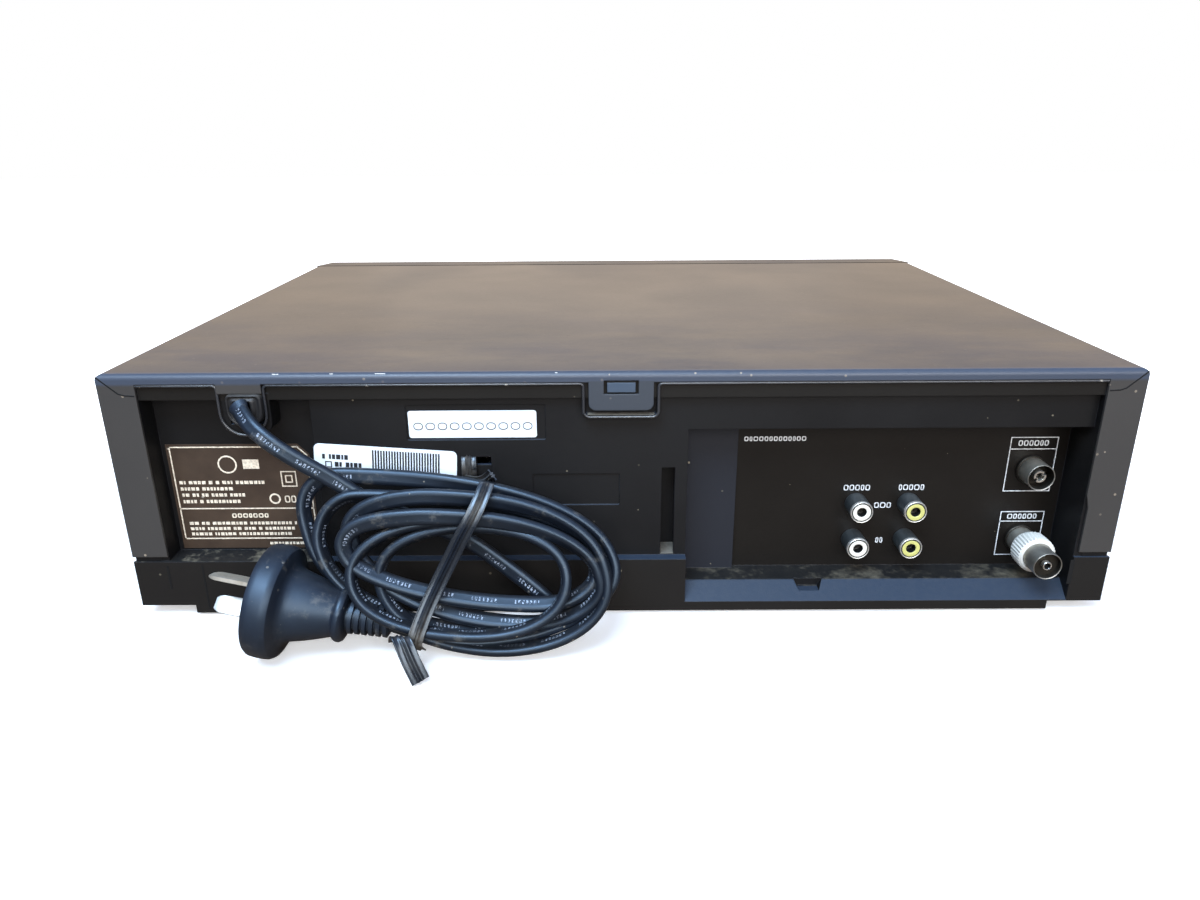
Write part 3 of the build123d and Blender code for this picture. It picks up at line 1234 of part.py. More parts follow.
def plug_body():
    """The moulded plug: a round face, a cone down to a collar, and a ribbed neck for the lead."""
    disc = Pos(0, 0, -DISC_T / 2) * Cylinder(DISC_R, DISC_T)
    disc = fillet(disc.edges(), EDGE_ROUND)
    cone_low = -DISC_T - CONE_LENGTH
    cone = Pos(0, 0, -DISC_T - CONE_LENGTH / 2) * Cone(*CONE_R, CONE_LENGTH)
    collar = Pos(0, 0, cone_low) * Cylinder(COLLAR_R, COLLAR_T)
    neck = Pos(0, 0, cone_low - NECK_LENGTH / 2) * Cylinder(NECK_R, NECK_LENGTH)
    return plug_place() * (disc + cone + collar + neck)


def plug_pins():
    """The two flat blades, set in an inverted V."""
    blades = []
    for sign in (-1, 1):
        place = Pos(0, sign * BLADE_SPREAD, BLADE[0] / 2) * Rot(0, 0, sign * BLADE_LEAN)
        blades.append(plug_place() * place * Box(BLADE[1], BLADE[2], BLADE[0]))
    return blades


def hank_place():
    return Pos(*HANK_CENTRE) * Rot(HANK_LEAN, 0, 0)


def cord_coil():
    """The outer shape of the tied hank, leaning against the rear panel, clear of the plug."""
    face = Plane.XZ.offset(-HANK_T / 2) * Ellipse(HANK_SIZE[0] / 2, HANK_SIZE[1] / 2)
    hank = hank_place() * extrude(face, HANK_T)
    return hank - plug_body()


def twist_tie():
    """The strap down the hank's front, and its two ends, which trail on the table."""
    strap = Pos(0, HANK_T / 2 + TIE_T / 2, 0) * Box(TIE_WIDTH, TIE_T, HANK_SIZE[1])
    tail = side(TIE_TAIL, TIE_TAIL_X - TIE_WIDTH / 2, TIE_TAIL_X + TIE_WIDTH / 2)
    return hank_place() * Pos(TIE_SHIFT, 0, 0) * Rot(0, TIE_SLANT, 0) * strap + tail


# ---------------------------------------------------------------- write every node
save("top_cover", top_cover())
save("cover_screws", *cover_screws())
save("base_frame", base_frame())
save("feet", *feet())
save("bottom_plate", bottom_plate())
save("rear_panel", rear_panel())
save("cord_gland", cord_gland())
save("rating_label", rating_label())
save("stickers", *stickers())
save("av_jack_block", av_jack_block())
save("audio_jack_liners", *jack_liners(JACK_X[0]))
save("video_jack_liners", *jack_liners(JACK_X[1]))
save("tuner_box", tuner_box())
save("rf_sockets", *rf_sockets())
save("adaptor_tube", adaptor_tube())
save("adaptor_ring", adaptor_ring())
save("front_panel", front_panel())
save("cassette_door", cassette_door())
save("display_window", display_window())
save("display_module", display_module())
for key_name, place in KEYS.items():
    save(key_name, key(*place))
save("channel_rocker", channel_rocker())
save("front_board", *front_board())
save("main_board", main_board())
save("board_chips", *board_chips())
save("board_capacitors", *board_capacitors())
save("power_transformer", power_transformer())
save("heat_sink", heat_sink())
save("deck_plate", deck_plate())
save("supply_reel", reel_table(-REEL_X))
save("takeup_reel", reel_table(REEL_X))
save("idler_gear", idler_gear())
save("drum_lower", drum_lower())
save("drum_upper", drum_upper())
save("capstan_flywheel", capstan_flywheel())
save("reel_pulley", reel_pulley())
save("drive_belt", drive_belt())
save("pinch_arm", pinch_arm())
save("pinch_roller", pinch_roller())
save("cam_gear", cam_gear())
save("guide_left", tape_guide(-1))
save("guide_right", tape_guide(1))
save("tape_heads", *tape_heads())
save("loading_motor", loading_motor())
save("carriage_brackets", *carriage_brackets())
save("carriage_slider", carriage_slider())
save("cassette_holder", cassette_holder())
save("power_lead", power_lead())
save("cord_coil", cord_coil())
save("plug_body", plug_body())
save("plug_pins", *plug_pins())
save("twist_tie", twist_tie())
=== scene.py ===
# %% [markdown]
# # A video cassette recorder, seen from behind
# The hard pieces are already modelled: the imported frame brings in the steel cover, the plastic
# base, the rear panel and everything inside. This lesson dresses them. It sets up a camera and
# a pale studio, writes the finishes as shader nodes, and then adds what is soft or fine: the
# tied mains lead, its plug, the sockets' rims, the labels and the printed lines.

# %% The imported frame
import json
import math

import bmesh
import bpy
import numpy as np
from mathutils import Matrix


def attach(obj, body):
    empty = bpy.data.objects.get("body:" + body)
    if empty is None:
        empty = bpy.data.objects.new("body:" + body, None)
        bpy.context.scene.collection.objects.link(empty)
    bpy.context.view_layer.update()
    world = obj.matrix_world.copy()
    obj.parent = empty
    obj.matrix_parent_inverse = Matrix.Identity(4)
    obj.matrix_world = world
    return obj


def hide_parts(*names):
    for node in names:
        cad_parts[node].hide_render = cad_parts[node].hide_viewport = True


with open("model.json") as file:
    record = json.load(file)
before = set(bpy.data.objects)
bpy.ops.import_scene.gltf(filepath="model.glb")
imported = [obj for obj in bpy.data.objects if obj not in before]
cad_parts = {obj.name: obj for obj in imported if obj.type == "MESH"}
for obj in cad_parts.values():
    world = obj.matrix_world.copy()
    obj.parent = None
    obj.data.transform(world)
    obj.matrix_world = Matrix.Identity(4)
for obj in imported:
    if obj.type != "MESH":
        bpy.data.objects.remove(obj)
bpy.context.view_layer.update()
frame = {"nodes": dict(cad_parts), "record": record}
nodes = frame["nodes"]
MM = 0.001
print("packed pieces:", len(nodes))

# %% [markdown]
# ## Camera
# The recorder stands on a table and is looked at from a little above, with a wide lens. A
# camera's matrix is its three axes and its place, so it is built from a pitch, a yaw and a roll:
# the view direction first, then the horizontal axis at right angles to it, then the roll.

# %% Camera
CAMERA_PLACE = np.array([6.485, 418.555, 172.085]) * MM
PITCH, YAW, ROLL = np.radians([20.357, 0.187, -0.393])
LENS_MM = 26.083
SENSOR_MM = 36.0


def unit(v):
    """A vector, or a stack of them, divided by its own length."""
    v = np.asarray(v, float)
    return v / np.linalg.norm(v, axis=-1, keepdims=True)


def stand(name, data, axes, place):
    """A camera or a lamp in the scene: its matrix holds its three axes as columns, then its place."""
    thing = bpy.data.objects.new(name, data)
    bpy.context.collection.objects.link(thing)
    matrix = np.eye(4)
    matrix[:3, :3] = np.column_stack(axes)
    matrix[:3, 3] = place
    thing.matrix_world = Matrix(matrix.tolist())
    return thing


def make_camera():
    """View = (sin yaw cos pitch, -cos yaw cos pitch, -sin pitch); the other two axes roll about it."""
    view = np.array([np.sin(YAW) * np.cos(PITCH), -np.cos(YAW) * np.cos(PITCH), -np.sin(PITCH)])
    level = unit(np.cross(view, [0, 0, 1]))
    upright = np.cross(level, view)
    right = np.cos(ROLL) * level + np.sin(ROLL) * upright
    up = np.cos(ROLL) * upright - np.sin(ROLL) * level
    data = bpy.data.cameras.new("camera")
    data.lens = LENS_MM
    data.sensor_width = SENSOR_MM
    data.clip_start = 0.01
    return stand("camera", data, [right, up, -view], CAMERA_PLACE)


bpy.context.scene.camera = make_camera()
bpy.context.scene.view_settings.view_transform = "Standard"
print("camera at", CAMERA_PLACE.round(3).tolist())

# %% [markdown]
# ## Shader helpers
# A shader is a sum: noises, masks and colours, added and multiplied. So a node's output is
# wrapped as a `Wire`, and `a * b + c` then adds the Math nodes. `add` makes any other node.

# %% Nodes as arithmetic


def wire(sockets, values):
    """Each value joins its socket where it is a node's output, and otherwise sets the socket's number."""
    for key, value in values.items():
        if isinstance(value, Wire):
            value.tree.links.new(value.socket, sockets[key])
        else:
            sockets[key].default_value = value


def add(tree, kind, inputs=None, **props):
    """One shader node, set and joined; gives back its outputs, by name or by number."""
    node = tree.nodes.new("ShaderNode" + kind)
    for key, value in props.items():
        setattr(node, key, value)
    wire(node.inputs, inputs or {})
    return Outputs(node)


def step(operation, turned=False):
    """Makes a method of a wire that stands for one operation."""
    def method(self, other=0.0):
        """One Math node: self (operation) other or, turned, other (operation) self."""
        a, b = (other, self) if turned else (self, other)
        return add(self.tree, "Math", {0: a, 1: b}, operation=operation)[0]
    return method


class Wire:
    """A node's output; each operator on it adds one Math node and gives that node's output."""

    def __init__(self, socket):
        """Keeps the output, and the node tree that it is in."""
        self.socket = socket
        self.tree = socket.id_data

    __add__ = __radd__ = step("ADD")
    __mul__ = __rmul__ = step("MULTIPLY")
    __sub__, __rsub__ = step("SUBTRACT"), step("SUBTRACT", turned=True)
    __lt__, __gt__ = step("LESS_THAN"), step("GREATER_THAN")
    __abs__, higher, fraction = step("ABSOLUTE"), step("MAXIMUM"), step("FRACT")

    def clamped(self):
        """The same step with its result held between 0 and 1."""
        self.socket.node.use_clamp = True
        return self


class Outputs:
    """A node's outputs, each given as a wire."""

    def __init__(self, node):
        """Keeps the node's outputs."""
        self.sockets = node.outputs

    def __getitem__(self, key):
        """The output of that name or number."""
        return Wire(self.sockets[key])


print("operators ready")

# %% Shader helpers


def rgb(r, g, b):
    """Screen values 0-255 to linear light: ((c + 0.055) / 1.055) to the power 2.4, or c / 12.92 when dark."""
    c = np.array([r, g, b]) / 255
    linear = np.where(c > 0.04045, ((c + 0.055) / 1.055) ** 2.4, c / 12.92)
    return (*linear.tolist(), 1.0)


def ramp(value, low, high, to_low=0.0, to_high=1.0):
    """A straight line from (low, to_low) to (high, to_high), held flat outside."""
    ends = {"From Min": low, "From Max": high, "To Min": to_low, "To Max": to_high}
    return add(value.tree, "MapRange", {"Value": value, **ends}, clamp=True)["Result"]


def mix(factor, a, b):
    """Colour a where the factor is 0 and colour b where it is 1."""
    return add(factor.tree, "Mix", {0: factor, 6: a, 7: b}, data_type="RGBA")[2]


def drifting(slow, tint, drift, low=0.35, high=0.65):
    """One tint drifting into another where a slow noise rises from low to high; tints are 0-255."""
    return mix(ramp(slow, low, high), rgb(*tint), rgb(*drift))


def noise(at, scale, detail, rough=0.5, warp=0.0):
    """Smooth noise from 0 to 1 about a half: scale bumps in a metre, and detail finer layers on it."""
    return add(at.tree, "TexNoise", {"Vector": at, "Scale": scale, "Detail": detail,
                                     "Roughness": rough, "Distortion": warp})["Fac"]


def split(vector):
    """A vector's X, Y and Z."""
    return add(vector.tree, "SeparateXYZ", {"Vector": vector})


def region(place, limits):
    """1 inside a box of places and 0 outside: the product of one step for each limit given."""
    mask = 1.0
    for axis, low, high in limits:
        if low is not None:
            mask = mask * (place[axis] > low)
        if high is not None:
            mask = mask * (place[axis] < high)
    return mask


def new_group(name, inputs, outputs):
    """An empty node group with named sockets: the group, what it takes and what it gives."""
    group = bpy.data.node_groups.new(name, "ShaderNodeTree")
    for label, kind, value in inputs:
        socket = group.interface.new_socket(label, in_out="INPUT", socket_type="NodeSocket" + kind)
        if value is not None:
            socket.default_value = value
    for label, kind in outputs:
        group.interface.new_socket(label, in_out="OUTPUT", socket_type="NodeSocket" + kind)
    give = group.nodes.new("NodeGroupOutput").inputs
    return group, Outputs(group.nodes.new("NodeGroupInput")), give


def use(tree, group, inputs):
    """A node group placed in a material, with its inputs set or joined."""
    return add(tree, "Group", inputs, node_tree=group)


def new_material(name):
    """A material, its tree, and the inputs of its Principled node."""
    material = bpy.data.materials.new(name)
    material.use_nodes = True
    tree = material.node_tree
    shader = next(n for n in tree.nodes if n.type == "BSDF_PRINCIPLED")
    return material, tree, shader.inputs


print("shader helpers ready")

# %% [markdown]
# ## Shared effects
# **Settled dust** has three layers: a thin patchy film everywhere, a heavier layer where a
# surface faces up, and single specks. **Rubbed edges** compare the true normal with a bevelled
# one: where they differ, there is an edge. **Moulded grain** is the fine texture of a mould.

# %% Settled dust
DUST = rgb(158, 150, 138)


def dust_group():
    """Mask = film x slow noise + settle x how far up the surface faces + specks from a cell pattern."""
    group, take, give = new_group(
        "settled_dust",
        [("Color", "Color", rgb(30, 30, 32)), ("Dust", "Color", DUST),
         ("Film", "Float", 0.1), ("Settle", "Float", 0.3), ("Specks", "Float", 0.5)],
        [("Color", "Color"), ("Mask", "Float")],
    )
    at = add(group, "TexCoord")
    patch = ramp(noise(at["Object"], 23, 5, 0.62), 0.35, 0.7)
    crumb = ramp(noise(at["Object"], 420, 4, 0.7), 0.4, 0.68)
    up = ramp(split(at["Normal"])["Z"], 0.25, 0.95)
    film = take["Film"] * (patch + 0.35)
    settle = take["Settle"] * up * (crumb * 0.55 + 0.45)
    cell = add(group, "TexVoronoi", {"Vector": at["Object"], "Scale": 310, "Randomness": 1.0})
    chance = add(group, "SeparateColor", {"Color": cell["Color"]})
    dot = cell["Distance"] < chance["Green"] * 0.16
    speck = dot * (chance["Red"] < take["Specks"]) * ramp(chance["Blue"], 0.2, 1.0, 0.12, 0.8)
    total = (film + settle + speck).clamped()
    wire(give, {"Color": mix(total, take["Color"], take["Dust"]), "Mask": total})
    return group


def dusted(tree, colour, film, settle, specks, dust=DUST):
    """The dust group placed in a material: how strong its film, its upper layer and its specks are."""
    return use(tree, settled_dust, {"Color": colour, "Dust": dust, "Film": film, "Settle": settle,
                                    "Specks": specks})


settled_dust = dust_group()
print("group:", settled_dust.name)

# %% Rubbed edges


def rub_group():
    """Mask = 1 - (true normal . bevelled normal), stretched and broken up by noise."""
    group, take, give = new_group(
        "rubbed_edges",
        [("Radius", "Float", 0.0004), ("Wear", "Float", 0.5)],
        [("Mask", "Float"), ("Normal", "Vector")],
    )
    bevel = add(group, "Bevel", {"Radius": take["Radius"]}, samples=4)["Normal"]
    true = add(group, "NewGeometry")["Normal"]
    same = add(group, "VectorMath", {0: bevel, 1: true}, operation="DOT_PRODUCT")["Value"]
    edge = ramp(1.0 - same, 0.02, 0.22)
    broken = ramp(noise(add(group, "TexCoord")["Object"], 160, 5, 0.65), 0.38, 0.62)
    wire(give, {"Mask": (edge * broken * take["Wear"]).clamped(), "Normal": bevel})
    return group


rubbed_edges = rub_group()
print("group:", rubbed_edges.name)

# %% Moulded grain


def grain_group():
    """Height = two noises, one four times finer than the other; the bump comes from their sum."""
    group, take, give = new_group(
        "moulded_grain",
        [("Scale", "Float", 900.0), ("Strength", "Float", 0.2), ("Depth", "Float", 0.0001),
         ("Normal", "Vector", None)],
        [("Normal", "Vector"), ("Height", "Float")],
    )
    at = add(group, "TexCoord")["Object"]
    height = noise(at, take["Scale"], 3) * 0.7 + noise(at, take["Scale"] * 4.0, 2) * 0.3
    bump = add(group, "Bump", {"Strength": take["Strength"], "Distance": take["Depth"],
                               "Height": height, "Normal": take["Normal"]})
    wire(give, {"Normal": bump["Normal"], "Height": height})
    return group


def grained(tree, scale, strength, normal=None):
    """The grain group placed in a material, on a bevelled normal or else on the surface's own."""
    normal = normal or add(tree, "NewGeometry")["Normal"]
    return use(tree, moulded_grain, {"Scale": scale, "Strength": strength, "Normal": normal})["Normal"]


moulded_grain = grain_group()
print("group:", moulded_grain.name)

# %% Drawn metal


def drawn_group():
    """A noise stretched along one axis, as rolling or brushing leaves it: value and bump."""
    group, take, give = new_group(
        "drawn_metal",
        [("Stretch", "Vector", (40.0, 2500.0, 2500.0)), ("Strength", "Float", 0.15)],
        [("Value", "Float"), ("Normal", "Vector")],
    )
    at = add(group, "TexCoord")["Object"]
    long = add(group, "VectorMath", {0: at, 1: take["Stretch"]}, operation="MULTIPLY")["Vector"]
    value = noise(long, 1.0, 4, 0.6)
    bump = add(group, "Bump", {"Strength": take["Strength"], "Distance": 0.00005, "Height": value})
    wire(give, {"Value": value, "Normal": bump["Normal"]})
    return group


drawn_metal = drawn_group()
print("group:", drawn_metal.name)

# %% [markdown]
# ## Finishes
# Most pieces are moulded or painted, and differ only in numbers: two tints that drift into each
# other, a roughness, a grain, and how dusty and worn they are. `moulded` takes those numbers.

# %% Moulded and painted finishes
EDGE_RADIUS = 0.0004


def moulded(name, tint, drift, rough, grain=(900.0, 0.2), dust=(0.05, 0.2, 0.3), wear=0.3,
            worn_tint=None, specular=0.35, coat=0.0):
    """Tint to drift by a slow noise, then worn edges, then dust; roughness rises with the dust."""
    material, tree, sockets = new_material(name)
    slow = noise(add(tree, "TexCoord")["Object"], 14, 4, 0.6)
    edges = use(tree, rubbed_edges, {"Radius": EDGE_RADIUS, "Wear": wear})
    colour = drifting(slow, tint, drift)
    colour = mix(edges["Mask"], colour, rgb(*(worn_tint or drift)))
    film = dusted(tree, colour, *dust)
    rough_now = ramp(slow, 0.3, 0.7, *rough) + film["Mask"] * 0.35
    wire(sockets, {"Base Color": film["Color"], "Roughness": rough_now.clamped(),
                   "Normal": grained(tree, *grain, edges["Normal"]),
                   "Specular IOR Level": specular, "Coat Weight": coat})
    return material


# Each row: tint, drift, the two ends of its roughness, its grain (scale, strength), its dust
# (film, upper layer, specks), and whatever else sets it apart.
MOULDED = {
    "bezel_plastic": ((24, 24, 26), (31, 31, 33), (0.36, 0.46), (1500, 0.12), (0.02, 0.14, 0.1), {}),
    "key_plastic": ((58, 59, 62), (66, 67, 70), (0.38, 0.48), (1400, 0.12), (0.02, 0.12, 0.1),
                    {"worn_tint": (96, 96, 98)}),
    "foot_rubber": ((26, 26, 26), (36, 35, 34), (0.75, 0.88), (700, 0.4), (0.2, 0.3, 0.5), {}),
    "chip_black": ((30, 32, 31), (38, 40, 38), (0.5, 0.62), (1600, 0.2), (0.05, 0.22, 0.25), {}),
    "capacitor_sleeve": ((24, 34, 66), (30, 42, 78), (0.22, 0.32), (500, 0.05), (0.06, 0.3, 0.3),
                         {"coat": 0.3}),
    "iron_core": ((84, 76, 70), (102, 88, 76), (0.55, 0.72), (600, 0.5), (0.1, 0.3, 0.4), {}),
    "gear_plastic": ((222, 217, 202), (212, 206, 190), (0.3, 0.42), (900, 0.05), (0.03, 0.15, 0.1),
                     {"worn_tint": (236, 233, 222)}),
    "roller_rubber": ((34, 34, 36), (44, 44, 46), (0.62, 0.74), (800, 0.2), (0.04, 0.1, 0.2), {}),
    "belt_rubber": ((28, 28, 29), (38, 38, 39), (0.55, 0.66), (800, 0.2), (0.04, 0.1, 0.2), {}),
    "white_insert": ((236, 232, 220), (224, 219, 205), (0.28, 0.38), (700, 0.04), (0.08, 0.1, 0.1),
                     {"wear": 0.0, "specular": 0.5}),
    "yellow_insert": ((204, 200, 118), (190, 186, 102), (0.28, 0.38), (700, 0.04), (0.08, 0.1, 0.1),
                      {"wear": 0.0, "specular": 0.5}),
    "white_ring": ((232, 230, 224), (216, 213, 204), (0.4, 0.5), (900, 0.06), (0.05, 0.12, 0.1),
                   {"wear": 0.1, "worn_tint": (240, 238, 232)}),
    "circuit_board": ((150, 128, 78), (134, 110, 62), (0.4, 0.52), (1200, 0.1), (0.08, 0.28, 0.3), {}),
    "white_paper": ((236, 243, 250), (226, 234, 243), (0.5, 0.6), (2000, 0.08), (0.02, 0.05, 0.05),
                    {"wear": 0.0}),
}
finishes = {name: moulded(name, *row[:5], **row[5]) for name, row in MOULDED.items()}
print("moulded finishes:", len(finishes))

# %% [markdown]
# ## The rear panel and the cover
# These two fill the view, so their plastic and paint change from place to place. A `region` is a
# box in metres, given by its limits along the axes, and a mask is 1 inside it.

# %% Rear panel
JACK_PLATE = [("X", -0.1668, -0.0437), ("Y", 0.1136, 0.1145)]
# Boxes with a tint: the base's strip and the jack plate in their own colours, and the band under the
# flange and the wall beside the plate painted lighter, as painted light.
PANEL_TINTS_AND_LIGHT = [
    ([("Y", 0.1312, None), ("Z", None, 0.0225)], (23, 21, 20)),
    # The band under the flange, lighter and warmer: painted light on its tilted face.
    ([("Y", 0.1290, 0.1311), ("Z", 0.0843, None)], (18, 16, 14)),
    (JACK_PLATE, (17, 14, 12)),
    # The wall beside the jack plate, lighter and bluer: painted light.
    ([("X", -0.0437, -0.0236), ("Y", 0.1146, 0.1162), ("Z", 0.0105, 0.0715)], (30, 32, 39)),
]
LEDGES = [("Y", 0.1082, None)]
LOW_BAY = [("X", 0.108, None), ("Z", None, 0.03)]
OUTER_Y = (0.1249, 0.1254)


def panel_plastic():
    """Black plastic by place: warm strip, dark glossy jack plate; painted light on band, wall and ledges."""
    material, tree, sockets = new_material("black_plastic")
    coords = add(tree, "TexCoord")
    at, place = coords["Object"], split(coords["Object"])
    slow = noise(at, 11, 4, 0.6)
    colour = drifting(slow, (9, 9, 11), (15, 15, 17))
    for limits, tint in PANEL_TINTS_AND_LIGHT:
        colour = mix(region(place, limits), colour, rgb(*tint))
    # Painted blue sky light on up-facing ledges: pale blue-grey on the outer slope, near black in the bays.
    ledge = ramp(split(coords["Normal"])["Z"], 0.5, 0.7) * region(place, LEDGES)
    bay = region(place, LOW_BAY)
    outer = ramp(place["Y"], *OUTER_Y) * (1.0 - bay)
    colour = mix(ledge, colour, mix(outer, rgb(8, 11, 17), rgb(34, 47, 64)))
    edges = use(tree, rubbed_edges, {"Radius": EDGE_RADIUS, "Wear": 0.35})
    colour = mix(edges["Mask"], colour, rgb(62, 66, 74))
    drift = ramp(noise(at, 62, 6, 0.7), 0.50, 0.66)
    heavy = drift * (bay * 0.75 + (1.0 - outer) * 0.4)
    film = dusted(tree, colour, 0.006, heavy * ledge + 0.04, 0.05, rgb(150, 140, 120))
    slope = ledge * outer
    spark = grained(tree, 1200.0 - slope * 500.0, ramp(slope, 0.0, 1.0, 0.35, 0.8), edges["Normal"])
    rough = ramp(slow, 0.3, 0.7, 0.42, 0.54) - region(place, JACK_PLATE) * 0.12
    wire(sockets, {"Base Color": film["Color"], "Roughness": (rough + film["Mask"] * 0.4).clamped(),
                   "Normal": spark, "Specular IOR Level": 0.26})
    return material


finishes["black_plastic"] = panel_plastic()
print("finish:", finishes["black_plastic"].name)

# %% Steel cover
# Chips on the rear edge: the place along X of each one's middle, and half its width.
CHIPS = ((0.1183, 0.0011), (0.0992, 0.0006), (0.0824, 0.0018), (0.0222, 0.0004))
REAR_EDGE = [("Y", 0.1309, None), ("Z", 0.0936, None)]
CATCH_TAB = [("X", -0.0115, 0.0115), ("Y", 0.1300, None), ("Z", 0.0780, 0.0908)]
FRONT_GAP_SHADE = [("Y", None, -0.1158)]
# Where a mask rises from 0 to 1, in metres: the turned-down flange, the edge with small chips, and
# the top's painted cool reflection, which gathers toward the rear edge.
FLANGE_Y, FLANGE_Z = (0.1285, 0.1300), (0.0898, 0.0908)
CHIPPED_Y, CHIPPED_Z = (0.1302, 0.1308), (0.0922, 0.0926)
SHEEN_RISE_Y, REAR_SHEEN_Y = (0.0, 0.11), (0.108, 0.131)


def cover_top(place, slow):
    """The top's charcoal with a painted warm sheen and painted cool reflection, fine dark flecks; the
    reflection's mask.
    """
    # The top is warmer than the sides: a painted warm sheen.
    warm = drifting(slow, (56, 51, 46), (64, 59, 53))
    wide = add(slow.tree, "CombineXYZ", {"X": place["X"], "Y": place["Y"] * 2.6})["Vector"]
    # Painted cool reflection: blotchy blue-grey over the rear half, and an even band along the rear edge.
    painted_cool_sheen = ramp(noise(wide, 11, 6, 0.62), 0.40, 0.60) * ramp(place["Y"], *SHEEN_RISE_Y)
    painted_cool_sheen = painted_cool_sheen.higher(ramp(place["Y"], *REAR_SHEEN_Y, 0.0, 0.9))
    fleck = ramp(noise(wide, 330, 2), 0.66, 0.70) * 0.8
    return mix(fleck, mix(painted_cool_sheen, warm, rgb(24, 38, 52)), rgb(20, 19, 18)), painted_cool_sheen


def cover_chips(at, place):
    """Bare steel at the rear edge: random small cells there, and the larger chips at their places."""
    cell = add(at.tree, "TexVoronoi", {"Vector": at, "Scale": 62, "Randomness": 1.0})
    chance = add(at.tree, "SeparateColor", {"Color": cell["Color"]})
    ragged = noise(at, 900, 3)
    reach = chance["Green"] * ramp(ragged, 0.3, 0.7, 0.02, 0.16)
    rear = ramp(place["Y"], *CHIPPED_Y) * ramp(place["Z"], *CHIPPED_Z)
    chips = (cell["Distance"] < reach) * (chance["Red"] < 0.42) * rear
    torn = ramp(ragged, 0.36, 0.42)
    for middle, half in CHIPS:
        one = region(place, [("X", middle - half, middle + half), *REAR_EDGE])
        chips = chips.higher(one * torn)
    return chips


def cover_paint():
    """Charcoal paint with a fine ripple; painted cool light on flange and catch tab, a painted shade line at
    the front, a chipped rear edge.
    """
    material, tree, sockets = new_material("steel_cover")
    coords = add(tree, "TexCoord")
    at, place = coords["Object"], split(coords["Object"])
    slow = noise(at, 7, 3)
    top = ramp(split(coords["Normal"])["Z"], 0.6, 0.9)
    top_colour, painted_cool_sheen = cover_top(place, slow)
    colour = drifting(slow, (52, 50, 49), (59, 57, 55))
    colour = mix(top, colour, top_colour)
    flange = ramp(place["Y"], *FLANGE_Y) * ramp(place["Z"], *FLANGE_Z)
    # Painted cool light: the flange and the catch tab are slate-blue where the cool lamps fall on them.
    colour = mix(flange, colour, rgb(56, 64, 78))
    colour = mix(region(place, CATCH_TAB), colour, rgb(52, 58, 66))
    colour = mix(cover_chips(at, place), colour, rgb(205, 200, 190))
    # Painted shade: a dark band along the front edge, for the gap and the step's shadow at the bezel, with no
    # shine.
    seam = region(place, FRONT_GAP_SHADE)
    colour = mix(seam, colour, rgb(4, 4, 4))
    film = dusted(tree, colour, 0.01, 0.06, 0.35, rgb(156, 142, 124))
    edges = use(tree, rubbed_edges, {"Radius": 0.0005, "Wear": 0.9})
    shine = 0.5 * (1.0 - seam) - painted_cool_sheen * top * 0.16
    wire(sockets, {"Base Color": film["Color"],
                   "Roughness": ramp(noise(at, 16, 3, warp=0.3), 0.3, 0.7, 0.39, 0.45),
                   "Normal": grained(tree, 700.0, 0.3, edges["Normal"]),
                   "Specular IOR Level": shine})
    return material


finishes["steel_cover"] = cover_paint()
print("finish:", finishes["steel_cover"].name)

# %% [markdown]
# ## Metals, window, label and rubber
# Bare metal shows how it was made, so drawn lines move its roughness, and tarnish dulls its colour.
# The window, the label's film, the lead and its tie each have a short recipe of their own.

# %% Metals


def metal(name, tint, dull, rough, stretch=(60.0, 2200.0, 2200.0), tarnish=0.3,
          dust=(0.04, 0.12, 0.1)):
    """Full metal; the drawn lines move its roughness, and a slow noise dulls its colour."""
    material, tree, sockets = new_material(name)
    lines = use(tree, drawn_metal, {"Stretch": stretch, "Strength": 0.12})
    dulled = ramp(noise(add(tree, "TexCoord")["Object"], 60, 5, 0.7), 0.42, 0.68) * tarnish
    film = dusted(tree, mix(dulled, rgb(*tint), rgb(*dull)), *dust)
    rough_now = ramp(lines["Value"], 0.3, 0.7, *rough) + dulled * 0.3
    wire(sockets, {"Base Color": film["Color"], "Metallic": (1.0 - film["Mask"]).clamped(),
                   "Roughness": rough_now.clamped(), "Normal": lines["Normal"]})
    return material


# Each row: tint, its dulled tint, the two ends of its roughness, and whatever else sets it apart.
METALS = {
    "plated_steel": ((186, 184, 176), (140, 134, 122), (0.28, 0.42), {}),
    "screw_steel": ((62, 62, 64), (40, 40, 42), (0.3, 0.42), {}),
    "aluminium": ((206, 208, 212), (170, 172, 176), (0.22, 0.36), {}),
    "nickel": ((226, 223, 216), (176, 168, 152), (0.2, 0.32), {}),
    "aged_nickel": ((182, 178, 168), (124, 118, 104), (0.36, 0.48), {"tarnish": 0.8}),
    "rim_nickel": ((240, 236, 228), (206, 198, 184), (0.42, 0.54), {"tarnish": 0.2}),
    # The sockets' insides: a dark metal, painted shade in their hollows.
    "socket_inside": ((56, 53, 48), (34, 32, 29), (0.4, 0.55), {"tarnish": 0.8}),
    "sleeve_nickel": ((104, 112, 116), (76, 82, 84), (0.38, 0.5), {"tarnish": 0.5}),
    "brass_blade": ((226, 222, 212), (160, 146, 122), (0.34, 0.5),
                    {"stretch": (900.0, 900.0, 120.0), "tarnish": 0.6, "dust": (0.05, 0.1, 0.4)}),
}
finishes.update({name: metal(name, *row[:3], **row[3]) for name, row in METALS.items()})
print("finishes so far:", len(finishes))

# %% Smoked window


def smoked():
    """Dark tinted plastic: half clear where it is looked straight through, duller under its dust."""
    material, tree, sockets = new_material("smoked_window")
    film = dusted(tree, rgb(30, 22, 22), 0.015, 0.1, 0.08)
    wire(sockets, {"Base Color": film["Color"], "Roughness": ramp(film["Mask"], 0.0, 1.0, 0.08, 0.6),
                   "Transmission Weight": 0.45, "IOR": 1.49})
    return material


finishes["smoked_window"] = smoked()
print("finish:", finishes["smoked_window"].name)

